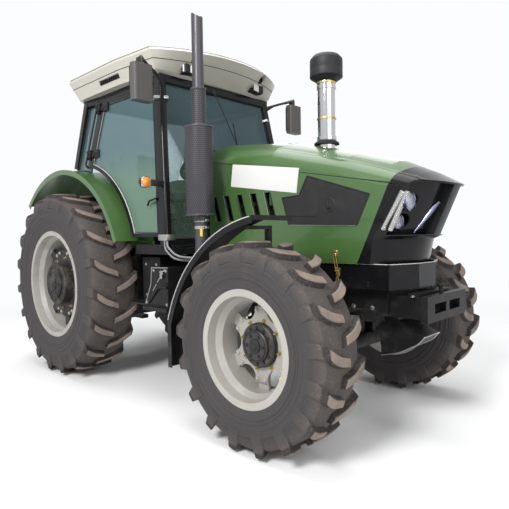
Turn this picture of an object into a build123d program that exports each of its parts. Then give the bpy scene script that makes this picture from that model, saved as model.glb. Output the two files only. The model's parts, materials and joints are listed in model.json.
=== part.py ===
from build123d import *
import os
from collections import namedtuple
from math import atan2, cos, degrees, hypot, radians, sin, sqrt

# Four-wheel-drive farm tractor with a cab, in millimetres.
# While it is modelled, X runs forward from the rear axle's centre, Y to the
# left and Z up from the ground. The finished pieces are then moved so that
# the origin is on the ground under the middle of the whole machine.

# ---------------------------------------------------------------- sizes
GAP = 0.3                    # seat clearance between pieces that only touch
MOVE = 8.0                   # clearance that a moving piece keeps
FUSE = 5.0                   # how far a joined piece runs into the one that carries it
PIN_PLAY = 0.08              # radial play of a pin in its bore

# wheels (14.9-26 in front, 18.4-38 behind)
WHEELBASE = 2668.0
FRONT_TYRE_R, FRONT_TYRE_W, FRONT_TYRE_Y = 648.0, 378.0, 877.0
REAR_TYRE_R, REAR_TYRE_W, REAR_TYRE_Y = 875.0, 467.0, 803.0
FRONT_RIM_R, FRONT_RIM_W = 330.2, 330.0
REAR_RIM_R, REAR_RIM_W = 482.6, 406.0
RIM_FLANGE = 32.0            # height of the rim's flange over the bead seat
RIM_WALL = 12.0
RIM_WELL, RIM_STEP = 46.0, 8.0                   # depth of the well and of the step beside it
WELL_IN, WELL_OUT = 60.0, 100.0                  # where the step and the well start, from the rim's edge
FRONT_LUGS, REAR_LUGS = 17, 19                   # lugs on each side of a tyre
LUG_H, LUG_W = 38.0, 46.0
LUG_REACH, LUG_SWEEP = 0.455, 0.44               # shares of the tyre's width
SHOULDER_DROP, WALL_SHARE = 26.0, 0.52
BEAD_LIFT, SHOULDER_SHARE = 6.0, 0.40
FRONT_DISC_R, REAR_DISC_R = 236.0, 330.0
FRONT_WAIST_R, DISC_CORNER_W = 176.0, 104.0      # hollow sides and flat corners of the front disc
DISC_T = 18.0
FRONT_DISC_Y, REAR_DISC_Y = 858.0, 868.0         # inner face of each wheel disc
DISC_LUG_W, DISC_LUG_LAP = 84.0, 52.0            # lugs inside the rim that the disc bolts to
FRONT_HUB_R, FRONT_HUB_IN, FRONT_HUB_END_Y = 137.0, 800.0, 936.0
REAR_HUB_R, REAR_HUB_IN, REAR_HUB_END_Y = 205.0, 700.0, 1000.0
HUB_NOSE, HUB_NOSE_SHARE, HUB_CHAMFER = 22.0, 0.72, 9.0
FRONT_STUDS, REAR_STUDS = 6, 8
FRONT_SPINDLE_R, REAR_SPINDLE_R, SPINDLE_L = 70.0, 60.0, 55.0

# front axle and steering
AXLE_Z = FRONT_TYRE_R
AXLE_TUBE_R = 85.0
FRONT_DIFF_R, DIFF_HALF_W, DIFF_TOP = 175.0, 160.0, 165.0
AXLE_NOSE_R, AXLE_NOSE_L = 78.0, 260.0           # input housing of the front axle
CRADLE_HALF_L, CRADLE_HALF_W, CRADLE_Z = 150.0, 120.0, 120.0
KINGPIN_Y = 640.0
FORK_IN, FORK_OUT, FORK_HALF_L, YOKE_T = 165.0, 46.0, 58.0, 37.0
EAR_IN, EAR_OUT, EAR_PLAY = 152.0, 200.0, 6.0    # the fork's ears above and below the axle line
KNUCKLE_R = 118.0
PIN_R, PIN_L = 34.0, 52.0
ARM_LENGTH, ARM_Z, ARM_T, ARM_W = 190.0, 557.0, 24.0, 60.0
TIE_R, TIE_EYE_R, TIE_EYE_H, TIE_EYE_WALL = 18.0, 40.0, 40.0, 16.0
CYLINDER_R, CYLINDER_LENGTH, HANGER_Y = 46.0, 420.0, 150.0

# front fenders, carried by the knuckles; the arc's centre lies off the wheel's so that the arc
# keeps its gap to the tyre
FENDER_R, FENDER_T, FENDER_GAP, FENDER_AIM = 1040.0, 6.0, 78.54466, -48.427179
FENDER_OFF = FENDER_R - FRONT_TYRE_R - FENDER_GAP
FENDER_DX = FENDER_OFF * cos(radians(FENDER_AIM))
FENDER_DZ = FENDER_OFF * sin(radians(FENDER_AIM))
FENDER_IN_Y, FENDER_OUT_Y, FENDER_LIP = 790.0, 1010.0, 42.0
FENDER_TOP, FENDER_LOW = 98.2, 162.8             # ends of the arc, degrees
FENDER_FLAP_Z = 395.0                            # lower end of the straight flap
FENDER_TIP_X, FENDER_TIP_DROP, FENDER_TIP_LIP = 364.0, 16.0, 28.0
STAY_X0, STAY_X1, STAY_ARM_H = -150.0, -110.0, 24.0

# frame and drive line
RAIL_Y, RAIL_T, RAIL_Z0, RAIL_Z1 = 205.0, 30.0, 830.0, 1030.0
RAIL_X0, RAIL_X1 = WHEELBASE - 618.0, WHEELBASE + 532.0
FRAME_PLATE_T, SADDLE_H, CROSS_L = 14.0, 60.0, 120.0
ENGINE_X0, ENGINE_X1 = 1660.0, WHEELBASE - 188.0
ENGINE_W, ENGINE_Z0, ENGINE_Z1 = 340.0, 760.0, 1560.0
GEARBOX_X0, GEARBOX_W, GEARBOX_Z0, GEARBOX_Z1 = 330.0, 420.0, 640.0, 1120.0
BELL_R, BELL_Z, BELL_L = 260.0, 900.0, 260.0     # clutch housing
HOUSING_X0, HOUSING_X1, HOUSING_W = -330.0, 330.0, 520.0
HOUSING_Z0, HOUSING_Z1 = 520.0, 1120.0
TRUMPET_R, TRUMPET_Y, TRUMPET_FLANGE = 150.0, 640.0, 24.0
RADIATOR_X0, RADIATOR_X1, RADIATOR_Y, RADIATOR_TOP = WHEELBASE - 78.0, WHEELBASE + 12.0, 300.0, 1600.0

# bonnet and nose: x, half width, side top, ridge
BONNET_SECTIONS = ((1655.0, 402.0, 1925.0, 2112.0), (2330.0, 392.0, 1850.0, 2040.0),
                   (2910.0, 372.0, 1715.0, 1893.0), (3200.0, 360.0, 1625.0, 1803.0),
                   (3400.0, 352.0, 1600.0, 1713.0), (3570.0, 344.0, 1560.0, 1615.0))
BONNET_T, NOSE_T = 14.0, 34.0
# nose face: z, x at the corner, x in the middle
NOSE_SECTIONS = ((1100.0, 3150.0, 3300.0), (1290.0, 3172.0, 3345.0), (1310.0, 3180.0, 3405.0),
                 (1625.0, 3372.0, 3540.0), (2200.0, 3723.0, 3787.0))
NOSE_Y, NOSE_FLARE_X, NOSE_FLARE_Y = 350.0, 150.0, 430.0
RECESS_Y0, RECESS_Y1, RECESS_Z, RECESS_DEPTH = 50.0, 330.0, 1318.0, 60.0   # lamp recess on each side
SPLIT_TOP, SPLIT_LOW = (3300.0, 1730.0), (3040.0, 1140.0)                  # bonnet to nose, x z
BONNET_HINGE_X, BONNET_HINGE_Z, BONNET_HINGE_Y = 1672.0, 2052.0, 140.0
BONNET_PIN_R, BONNET_BARREL_R, BONNET_BARREL_L = 7.0, 14.0, 40.0
SCREEN_POINTS = ((2656.0, 1728.0), (3130.0, 1575.0), (3040.0, 1385.0),
                 (2490.0, 1400.0), (2434.0, 1589.0), (2585.0, 1600.0))
LOUVRES, LOUVRE_X, LOUVRE_PITCH = 5, 1682.0, 145.0
LOUVRE_TOP, LOUVRE_LOW, LOUVRE_W, LOUVRE_LEAN = 1640.0, 1440.0, 55.0, 57.0
# headlamps: y, z, radius, front x
HEADLAMPS = ((270.0, 1521.0, 54.0, 3356.0), (262.0, 1400.0, 48.0, 3275.0))
HEADLAMP_L = 80.0
BAND_Z0, BAND_Z1, BAND_T, BAND_Y = 975.0, 1135.0, 14.0, 350.0
BAND_X0, BAND_CORNER_X, BAND_X1, BAND_FLAT_Y = WHEELBASE + 32.0, WHEELBASE + 587.0, WHEELBASE + 672.0, 120.0
BAND_TABS, BAND_TAB_L = (WHEELBASE + 92.0, WHEELBASE + 422.0), 40.0
BONNET_LOW_Z = BAND_Z1 + GAP                     # the bonnet rests on the band
CARRIER_X, CARRIER_W, CARRIER_Z0, CARRIER_Z1, CARRIER_T = WHEELBASE + 807.0, 580.0, 785.0, 945.0, 45.0
CARRIER_ARM_Z0, CARRIER_ARM_Z1 = 795.0, 935.0
CARRIER_BAR_X0, CARRIER_BAR_X1, CARRIER_BAR_T = 150.0, 80.0, 20.0          # bolted bar behind the plate
SLOT_Y0, SLOT_Y1, SLOT_Z0, SLOT_Z1 = 25.0, 190.0, 835.0, 895.0
# posts on the rails under the band, with the ring that ends them
BAND_POST_X0, BAND_POST_X1, BAND_POST_Z = WHEELBASE + 432.0, WHEELBASE + 527.0, 805.0
BAND_POST_T, BAND_RING_R, BAND_RING_H = 18.0, 66.0, 12.0
# belly guard that hangs from the frame's cross piece: x from the front axle, z
GUARD_POINTS = ((381.0, 712.0), (542.0, 748.0), (704.0, 662.0), (661.0, 612.0),
                (523.0, 536.0), (399.0, 502.0))
GUARD_HALF_W, GUARD_STEM_IN = 110.0, 12.0

# intake and exhaust
INTAKE_X, INTAKE_Y, INTAKE_R = 2550.0, 0.0, 67.0
INTAKE_TOP, CAP_TOP, CAP_R = 2480.0, 2655.0, 120.0
INTAKE_RING, INTAKE_RING_H = 7.0, 22.0
EXHAUST_X, EXHAUST_Y = 1800.0, -620.0
CAN_R, CAN_Z0, CAN_Z1 = 110.0, 1480.0, 2160.0
GUARD_R, GUARD_TOP = 57.0, 2450.0
STACK_R, STACK_TOP, STACK_WALL, STACK_CUT = 44.5, 3010.0, 3.0, 35.0
ELBOW_R, ELBOW_Z, ELBOW_BEND, FLANGE_R = 48.0, 1085.0, 110.0, 62.0

# cab
CAB_FLOOR_Z, CAB_FLOOR_T, CAB_BACK_X = 1180.0, 50.0, -150.0
CAB_FRONT_LOW, CAB_FRONT_TOP = (1540.0, 750.0, 1300.0), (1320.0, 620.0, 2640.0)
CAB_REAR_LOW, CAB_REAR_TOP = (-40.0, 690.0, 1980.0), (120.0, 640.0, 2640.0)
POST = 62.0
A_POST_L, A_POST_BACK, A_POST_ROUND = 98.0, 66.0, 22.0    # front post: length, reach behind its line
B_POST_BACK, B_POST_IN = 46.0, 26.0                       # middle post from the door's hinge line
COWL_FRONT_X, COWL_Y, COWL_TOP, COWL_BACK_X = 1630.0, 360.0, 2040.0, 1455.0
SILL_IN, SILL_OUT, SILL_H, SILL_X = 60.0, 20.0, 80.0, 1125.0
WELL_X0, WELL_X1, WELL_Y0 = 1000.0, 1100.0, 200.0         # where the floor widens in front of the fenders
FLOOR_FEET = (GEARBOX_X0 + 20.0, 1200.0)
FLOOR_FOOT_L, FLOOR_FOOT_Y0, FLOOR_FOOT_Y1 = 120.0, 150.0, 300.0
REAR_PANEL_T, REAR_PANEL_TOP = 30.0, 1600.0
DOOR_T, DOOR_EDGE = 26.0, 32.0
GLASS_T = 6.0
DOOR_HINGE_LOW, DOOR_HINGE_TOP = (310.0, 700.0, 2120.0), (420.0, 655.0, 2550.0)
HINGE_R, HINGE_PIN_R, HINGE_STAND, HINGE_L = 14.0, 7.0, 2.0, 50.0
HANDLE_X, HANDLE_Z, HANDLE_L, HANDLE_DROP, HANDLE_R, HANDLE_OUT = 1400.0, 1632.0, 84.0, 52.0, 8.0, 34.0
# roof levels: z, inset, extra inset of the nose, bulge of the nose
ROOF_LEVELS = ((CAB_FRONT_TOP[2] + POST / 2 + GAP, 70.0, 200.0, 70.0), (2700.0, 60.0, 170.0, 80.0),
               (2835.0, 0.0, 20.0, 260.0), (2870.0, 10.0, 50.0, 260.0),
               (2935.0, 90.0, 200.0, 260.0), (2965.0, 200.0, 420.0, 260.0))
ROOF_BACK_X, ROOF_FRONT_X, ROOF_Y = -90.0, 1650.0, 790.0
ROOF_CORNER, ROOF_SHOULDER, ROOF_SIDE_L = 120.0, 40.0, 480.0
ROOF_LAMP, ROOF_LAMP_TURN = (1425.0, 400.0, 2728.0), 14.0
ROOF_LAMP_L, ROOF_LAMP_W, ROOF_LAMP_H = 60.0, 150.0, 66.0
ROOF_VENT_R, ROOF_VENT_Z, ROOF_VENT_X = 34.0, 2802.0, 1470.0
ROOF_SLOT_X0, ROOF_SLOT_X1, ROOF_SLOT_Z0, ROOF_SLOT_Z1, ROOF_SLOT_Y = 540.0, 880.0, 2716.0, 2756.0, 730.0
TURN_LAMP_Z, TURN_LAMP_R, TURN_LAMP_T, TURN_ARM, TURN_ARM_R = 1750.0, 42.0, 34.0, 120.0, 16.0
TAIL_LAMP_ANGLE, TAIL_LAMP_H, TAIL_LAMP_T = 28.0, 90.0, 46.0      # degrees behind the axle's upright
TAIL_LAMP_Y0, TAIL_LAMP_Y1 = 690.0, 860.0

# rear fenders
REAR_FENDER_R, REAR_FENDER_T, REAR_FENDER_LIP = 1100.0, 8.0, 40.0
REAR_FENDER_IN_Y, REAR_FENDER_OUT_Y = 530.0, 905.0
REAR_FENDER_FRONT, REAR_FENDER_BACK = 22.0, 134.0     # degrees about the axle
REAR_FENDER_CHORD = 340.0                             # height of the inner wall's lower edge

# boxes, steps and mirrors
# tool box from the side: x, z
TOOL_BOX = ((1370.0, 786.0), (1672.0, 790.0), (1677.0, 1086.0), (1464.0, 1080.0), (1452.0, 950.0))
TOOL_BOX_Y0, TOOL_BOX_Y1 = 560.0, 850.0
SHELF_Z, SHELF_T = TOOL_BOX[0][1], 12.0               # the boxes stand on the shelf
CASE_X0, CASE_X1, CASE_Y, CASE_Z1 = 1110.0, 1362.0, 700.0, 1150.0
CASE_IN_Y = FLOOR_FOOT_Y1 + 10.0                      # clear of the cab's feet
LEDGE_X0, LEDGE_X1, LEDGE_Y0, LEDGE_Y1, LEDGE_T = 1370.0, 1690.0, 600.0, 880.0, 30.0
TANK_X0, TANK_X1 = 1390.0, WHEELBASE - 878.0          # its front end keeps clear of the fender
TANK_Y0, TANK_Y1, TANK_Z0, TANK_Z1 = 330.0, 850.0, 640.0, 1110.0
TANK_ROUND, TRAY_T, TRAY_IN = 60.0, 14.0, 20.0
STEP_X0, STEP_X1, STEP_Y0, STEP_Y1, STEP_T, STEP_CHEEK = 1075.0, 1370.0, 600.0, 850.0, 30.0, 8.0
STEP_LEVELS = (430.0, 680.0, 930.0)
MIRROR_X, MIRROR_Y, MIRROR_Z0, MIRROR_Z1, MIRROR_W, MIRROR_T = 1480.0, 915.0, 2365.0, 2645.0, 170.0, 80.0
MIRROR_ROUND, MIRROR_ARM_R, MIRROR_ARM_Z, MIRROR_ARM_RISE = 22.0, 12.0, 2600.0, 60.0

# seat, dash and steering wheel
SEAT_X, SEAT_W, SEAT_D, SEAT_Z = 560.0, 480.0, 470.0, 1660.0
PEDESTAL_HALF, PEDESTAL_Y, PAN_T, CUSHION_H, CUSHION_IN = 170.0, 190.0, 32.0, 120.0, 45.0
BACK_H, BACK_T, BACK_LEAN, BACK_DX, BACK_DZ = 520.0, 90.0, -8.0, 25.0, 270.0
SPINE_T, SPINE_H, SPINE_DROP = 16.0, 560.0, 120.0
REST_IN, REST_OUT, REST_Z0, REST_Z1, REST_X0, REST_X1 = 20.0, 80.0, 60.0, 110.0, -180.0, 140.0
DASH_X0, DASH_X1, DASH_HALF_W, DASH_Z0, DASH_Z1 = 1180.0, 1385.0, 170.0, 1900.0, 1960.0
WHEEL_R, WHEEL_RIM_R, WHEEL_TILT = 205.0, 15.0, 35.0
WHEEL_C, WHEEL_HUB_R, WHEEL_HUB_H = (1080.0, 0.0, 1990.0), 38.0, 26.0
WHEEL_SPOKES, SPOKE_W, SPOKE_T = (90.0, 210.0, 330.0), 26.0, 10.0
COLUMN_R, COLUMN_L = 34.0, 235.0

# rear linkage
LINK_X, LINK_Z, LINK_FRONT_Y, LINK_REAR_Y = -60.0, 520.0, HOUSING_W / 2 + 32.0, 435.0
LINK_L, LINK_DROP, LINK_H, LINK_T = 930.0, 50.0, 70.0, 26.0
LINK_PIN_R, LINK_EYE_W = 14.0, 40.0
ROD_AT = 0.5                 # lift rod's place along the lower link
BALL_R, BALL_BORE_R, BALL_W = 40.0, 14.35, 45.0
ROCK_X, ROCK_Z, ROCK_R = -270.0, 1175.0, 38.0
COVER_Y, COVER_H, COVER_X1, TOWER_H = HOUSING_W / 2 + 2.0, 50.0, 120.0, 110.0
LIFT_L, LIFT_H, LIFT_T, LIFT_SIDE, LIFT_BOSS = 330.0, 64.0, 28.0, 6.0, 26.0
LIFT_ROD_R, ROD_EYE_R, ROD_EYE_W, ROD_SIDE = 16.0, 30.0, 26.0, 20.0
TOP_EAR_L, TOP_EAR_Y, TOP_EAR_T, TOP_EAR_H, TOP_EAR_BORE = 52.0, 26.0, 14.0, 70.0, 12.8
PTO_R, PTO_Z, PTO_L = 17.45, 690.0, 100.0
PTO_GUARD_Y, PTO_GUARD_H, PTO_GUARD_T, PTO_GUARD_L = 120.0, 90.0, 6.0, 120.0
DRAWBAR_Z, DRAWBAR_BORE_R, DRAWBAR_W, DRAWBAR_T = 430.0, 15.0, 80.0, 40.0
DRAWBAR_X, DRAWBAR_X1, DRAWBAR_PIN_IN = -560.0, 60.0, 50.0
DRAWBAR_HANGER_X0, DRAWBAR_HANGER_X1, CRADLE_T, CRADLE_Y = 60.0, 120.0, 16.0, 70.0
# ---------------------------------------------------------------- end of sizes

Wheel = namedtuple("Wheel", "name x radius width y rim_r rim_w lugs disc_r waist_r disc_y studs "
                            "hub_r hub_in hub_end spindle_r")
WHEELS = (
    Wheel("front", WHEELBASE, FRONT_TYRE_R, FRONT_TYRE_W, FRONT_TYRE_Y, FRONT_RIM_R, FRONT_RIM_W, FRONT_LUGS,
          FRONT_DISC_R, FRONT_WAIST_R, FRONT_DISC_Y, FRONT_STUDS,
          FRONT_HUB_R, FRONT_HUB_IN, FRONT_HUB_END_Y, FRONT_SPINDLE_R),
    Wheel("rear", 0.0, REAR_TYRE_R, REAR_TYRE_W, REAR_TYRE_Y, REAR_RIM_R, REAR_RIM_W, REAR_LUGS,
          REAR_DISC_R, REAR_DISC_R, REAR_DISC_Y, REAR_STUDS,
          REAR_HUB_R, REAR_HUB_IN, REAR_HUB_END_Y, REAR_SPINDLE_R),
)
SIDES = (("right", -1), ("left", 1))
NODES = {}


def keep(name, *shapes):
    """Store the solids of one node under its name."""
    NODES[name] = [s for shape in shapes for s in shape.solids()]


def block(x0, x1, y0, y1, z0, z1):
    """Box between two corners."""
    centre = Pos((x0 + x1) / 2, (y0 + y1) / 2, (z0 + z1) / 2)
    return centre * Box(abs(x1 - x0), abs(y1 - y0), abs(z1 - z0))


def mirrored(shape):
    """The same shape on the other side of the machine."""
    return mirror(shape, about=Plane.XZ)


def bar(a, b, radius):
    """Round bar between two points."""
    a, b = Vector(*a), Vector(*b)
    return extrude(Plane(origin=a, z_dir=b - a) * Circle(radius), amount=(b - a).length)


def cross_bar(x, y0, y1, z, radius):
    """Round bar along Y."""
    return bar((x, y0, z), (x, y1, z), radius)


def upright(x, y, z0, z1, radius):
    """Round bar along Z."""
    return bar((x, y, z0), (x, y, z1), radius)


def beam(a, b, along, across, x_dir=(1, 0, 0), corner=0.0):
    """Rectangular beam between two points; x_dir is the side that 'along' lies on."""
    a, b = Vector(*a), Vector(*b)
    direction = (b - a).normalized()
    side = Vector(*x_dir)
    side = (side - direction * side.dot(direction)).normalized()
    face = RectangleRounded(along, across, corner) if corner else Rectangle(along, across)
    return extrude(Plane(origin=a, x_dir=side, z_dir=direction) * face, amount=(b - a).length)


def side_plate(points, y0, y1):
    """Plate cut to an outline of (x, z) points, from y0 to y1."""
    plane = Plane(origin=(0, max(y0, y1), 0), x_dir=(1, 0, 0), z_dir=(0, -1, 0))
    return extrude(plane * make_face(Polyline(*points, close=True)), amount=abs(y1 - y0))


def tube_path(points, radius, bend):
    """Round pipe along a path of straight runs and equal bends."""
    path = FilletPolyline(*points, radius=bend)
    return sweep(Plane(origin=path @ 0, z_dir=path % 0) * Circle(radius), path=path)


def biggest(shape):
    """The largest solid of a shape, without the offcuts."""
    return max(shape.solids(), key=lambda s: s.volume)


def around(shape, count, start=0.0):
    """Copies of a shape turned about the Y axis."""
    return [shape.rotate(Axis.Y, start + 360.0 * i / count) for i in range(count)]


def without(shape, cutters):
    """A shape with each of several cutters taken away."""
    for cutter in cutters:
        shape = shape - cutter
    return shape


# ---------------------------------------------------------------- wheels
def tyre(w):
    """Ag tyre about the Y axis: a many-sided carcass with two rows of bar lugs."""
    tread = w.radius - LUG_H
    sides = 2 * w.lugs
    mid_r = w.rim_r + WALL_SHARE * (tread - w.rim_r)
    share = (RIM_FLANGE + 4) / (mid_r - w.rim_r)
    bead_y = (0.5 * w.rim_w - RIM_WALL - GAP - 0.5 * w.width * share) / (1 - share)
    corner = 1 / cos(radians(180.0 / sides))
    # half profile: y, radius
    half = ((bead_y, (w.rim_r + BEAD_LIFT) * corner), (w.width / 2, mid_r),
            (SHOULDER_SHARE * w.width, tread - SHOULDER_DROP))
    profile = [(-y, r) for y, r in half] + [(y, r) for y, r in reversed(half)]

    def ring(y, r):
        plane = Plane(origin=(0, y, 0), x_dir=(1, 0, 0), z_dir=(0, 1, 0))
        return plane * RegularPolygon(r, sides, rotation=90.0 / w.lugs)

    carcass = loft([ring(y, r) for y, r in profile], ruled=True)
    carcass = carcass - extrude(ring(-w.width, (w.rim_r + GAP) * corner), amount=2 * w.width)
    # lug outline in the tread plane: x along the turn, y across the tyre
    reach, lean = LUG_REACH * w.width, LUG_SWEEP * w.width
    outline = ((0.5 * lean, -8.0), (0.5 * lean - 1.4 * LUG_W, -8.0),
               (-0.5 * lean, reach), (-0.5 * lean + 1.3 * LUG_W, reach))
    far = max(abs(x) for x, _ in outline)
    top = sqrt(w.radius ** 2 - far ** 2)
    shoulder = tread - SHOULDER_DROP
    base = shoulder - 0.55 * (shoulder - mid_r) - 20
    plane = Plane(origin=(0, 0, base), x_dir=(1, 0, 0), z_dir=(0, 0, 1))
    lug = extrude(plane * make_face(Polyline(*outline, close=True)), amount=top - base)
    step = 360.0 / w.lugs
    rows = around(lug, w.lugs) + around(mirrored(lug), w.lugs, start=step / 2)
    # turned so that it stands between two lugs' corners, one in each row
    lead = degrees(atan2(far, top))
    return carcass.fuse(*rows).rotate(Axis.Y, 180.0 - step / 4 + lead)


def rim(w, side):
    """Rim ring with flanges and a well, and the lugs inside it that carry the disc."""
    half, seat, flange = w.rim_w / 2, w.rim_r - RIM_WALL, w.rim_r + RIM_FLANGE
    well = w.rim_r - RIM_WELL
    # half section from the outer edge to the middle: y, radius
    outer = ((half - RIM_WALL, w.rim_r), (half - RIM_WALL, flange), (half, flange), (half, seat),
             (half - WELL_IN, seat - RIM_STEP), (half - WELL_OUT, well))
    profile = [(r, y) for y, r in outer] + [(r, -y) for y, r in reversed(outer)]
    ring = revolve(Plane.XY * make_face(Polyline(*profile, close=True)), axis=Axis.Y)
    y0 = side * (w.disc_y - w.y - GAP)
    lug = block(-DISC_LUG_W / 2, DISC_LUG_W / 2, y0, y0 - side * DISC_T, w.disc_r - DISC_LUG_LAP, well + 6)
    return ring.fuse(*around(lug, w.studs))


def disc_face(w):
    """Wheel disc: round, or with flat corners joined by hollow sides."""
    if w.waist_r == w.disc_r:
        return Circle(w.disc_r)
    step = 360.0 / w.studs
    half = degrees(atan2(DISC_CORNER_W / 2, w.disc_r))
    reach = hypot(w.disc_r, DISC_CORNER_W / 2)

    def at(r, angle):
        return (r * cos(radians(angle)), r * sin(radians(angle)))

    edges = []
    for i in range(w.studs):
        a = i * step
        edges.append(Line(at(reach, a - half), at(reach, a + half)))
        ends = at(reach, a + half), at(reach, a + step - half)
        edges.append(ThreePointArc(ends[0], at(w.waist_r, a + step / 2), ends[1]))
    return make_face(edges)


def hub(w, side):
    """Disc, drum and stepped cap of a wheel, with the bore for its spindle."""
    y_in, y_disc, y_end = w.hub_in - w.y, w.disc_y - w.y, w.hub_end - w.y
    plane = Plane(origin=(0, side * y_disc, 0), x_dir=(0, 0, 1), z_dir=(0, side, 0))
    disc = extrude(plane * disc_face(w), amount=DISC_T)
    nose_r, step_y = w.hub_r * HUB_NOSE_SHARE, y_end - HUB_NOSE
    # section: y outward, radius
    section = ((y_in, 0), (y_in, w.hub_r), (step_y - HUB_CHAMFER, w.hub_r), (step_y, w.hub_r - HUB_CHAMFER),
               (step_y, nose_r), (y_end - HUB_CHAMFER, nose_r), (y_end, nose_r - HUB_CHAMFER), (y_end, 0))
    outline = Polyline(*[(r, side * y) for y, r in section], close=True)
    drum = revolve(Plane.XY * make_face(outline), axis=Axis.Y)
    bore = cross_bar(0, side * (y_in - 1), side * (y_in + SPINDLE_L + FUSE), 0, w.spindle_r + GAP)
    return disc.fuse(drum) - bore


def make_wheels():
    """The four wheels, each as a tyre, a rim and a hub."""
    for w in WHEELS:
        for word, side in SIDES:
            place = Pos(w.x, side * w.y, w.radius)
            keep(f"tyre_{w.name}_{word}", place * tyre(w))
            keep(f"rim_{w.name}_{word}", place * rim(w, side))
            keep(f"hub_{w.name}_{word}", place * hub(w, side))


# ---------------------------------------------------------------- front axle
def axle_fork(side):
    """Yoke at the axle's end with the two ears that hold the kingpins."""
    x, z = WHEELBASE, AXLE_Z
    y0, y1 = side * (KINGPIN_Y - FORK_IN), side * (KINGPIN_Y + FORK_OUT)
    yoke = block(x - FORK_HALF_L - 4, x + FORK_HALF_L + 4, y0, y0 + side * YOKE_T, z - EAR_OUT, z + EAR_OUT)
    ears = [block(x - FORK_HALF_L, x + FORK_HALF_L, y0, y1, z + up * EAR_IN, z + up * EAR_OUT)
            for up in (-1, 1)]
    return [yoke, *ears]


def make_front_axle():
    """Axle beam with its forks and steering cylinder, the track rod, and what each end carries."""
    x, z, barrel_x = WHEELBASE, AXLE_Z, WHEELBASE + ARM_LENGTH
    tube = cross_bar(x, FORK_IN - 15 - KINGPIN_Y, KINGPIN_Y - FORK_IN + 15, z, AXLE_TUBE_R)
    reach = FRONT_DIFF_R + 25
    diff = Pos(x, 0, z) * Sphere(FRONT_DIFF_R)
    diff = diff & block(x - reach, x + reach, -DIFF_HALF_W, DIFF_HALF_W, z - reach, z + DIFF_TOP)
    nose = bar((x - AXLE_NOSE_L, 0, z), (x, 0, z), AXLE_NOSE_R)
    cradle = block(x - CRADLE_HALF_L, x + CRADLE_HALF_L, -CRADLE_HALF_W, CRADLE_HALF_W,
                   z + CRADLE_Z, RAIL_Z0 - GAP)
    barrel = cross_bar(barrel_x, -CYLINDER_LENGTH / 2, CYLINDER_LENGTH / 2, ARM_Z, CYLINDER_R)
    hangers = [block(x + 40, barrel_x, y - 22, y + 22, ARM_Z - 10, z + 20) for y in (-HANGER_Y, HANGER_Y)]
    forks = [piece for _, side in SIDES for piece in axle_fork(side)]
    axle = tube.fuse(diff, nose, cradle, barrel, *hangers, *forks)
    axle = axle - cross_bar(barrel_x, -CYLINDER_LENGTH, CYLINDER_LENGTH, ARM_Z, TIE_R + 0.5)
    pin_holes = [upright(x, side * KINGPIN_Y, z - 2 * EAR_OUT, z + 2 * EAR_OUT, PIN_R + PIN_PLAY)
                 for _, side in SIDES]
    keep("front_axle", without(axle, pin_holes))

    rod = cross_bar(barrel_x, 20 - KINGPIN_Y, KINGPIN_Y - 20, ARM_Z, TIE_R)
    eyes = [Pos(barrel_x, side * KINGPIN_Y, ARM_Z) * Cylinder(TIE_EYE_R, TIE_EYE_H) for _, side in SIDES]
    bores = [Pos(barrel_x, side * KINGPIN_Y, ARM_Z) * Cylinder(TIE_EYE_R - TIE_EYE_WALL, 2 * TIE_EYE_H)
             for _, side in SIDES]
    keep("track_rod", without(rod.fuse(*eyes), bores))

    for word, side in SIDES:
        keep(f"knuckle_{word}", knuckle(side, barrel_x))
        keep(f"front_fender_{word}", front_fender(side))


def knuckle(side, barrel_x):
    """Swivel housing with its kingpins, spindle, steering arm and fender stay."""
    x, y, z = WHEELBASE, side * KINGPIN_Y, AXLE_Z
    height = EAR_IN - EAR_PLAY
    drum = Pos(x, y, z) * Cylinder(KNUCKLE_R, 2 * height)
    pins = [Pos(x, y, z + up * (height + PIN_L / 2)) * Cylinder(PIN_R, PIN_L) for up in (-1, 1)]
    flange_y = side * (FRONT_HUB_IN - 26)
    flange = cross_bar(x, y, flange_y, z, KNUCKLE_R + 4)
    spindle = cross_bar(x, flange_y, side * (FRONT_HUB_IN + SPINDLE_L), z, FRONT_SPINDLE_R)
    # steering arm that reaches forward under the track rod's eye
    middle = ARM_Z - TIE_EYE_H / 2 - MOVE - ARM_T / 2
    arm = beam((x + 60, y, middle), (barrel_x, y, middle), ARM_W, ARM_T, x_dir=(0, 1, 0))
    boss = Pos(barrel_x, y, middle) * Cylinder(TIE_EYE_R - 6, ARM_T)
    return drum.fuse(*pins, flange, spindle, arm, boss, *fender_stay(side))


def fender_stay(side):
    """Post on the swivel housing and the arm that carries the front fender."""
    x, z = WHEELBASE, AXLE_Z
    sheet = z + FENDER_DZ + sqrt(FENDER_R ** 2 - (STAY_X0 - FENDER_DX) ** 2) - GAP
    y0 = side * KINGPIN_Y
    foot = block(x + STAY_X0, x - 80, y0 - side * 10, y0 + side * 40, z - 20, z + 110)
    post = block(x + STAY_X0, x + STAY_X1, y0, y0 + side * 30, z - 20, sheet)
    arm = block(x + STAY_X0, x + STAY_X1, y0, side * (FENDER_OUT_Y - 60), sheet - STAY_ARM_H, sheet)
    return [foot, post, arm]


def strip(cx, cz, r, t, a0, a1, y0, y1):
    """Curved sheet about a Y axis between two angles."""
    plane = Plane(origin=(cx, max(y0, y1), cz), x_dir=(1, 0, 0), z_dir=(0, -1, 0))
    ring = Circle(r + t) - Circle(r)
    far = [(3 * r * cos(radians(a)), 3 * r * sin(radians(a))) for a in (a0, (a0 + a1) / 2, a1)]
    return extrude(plane * (ring & make_face(Polyline((0, 0), *far, close=True))), amount=abs(y1 - y0))


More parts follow.
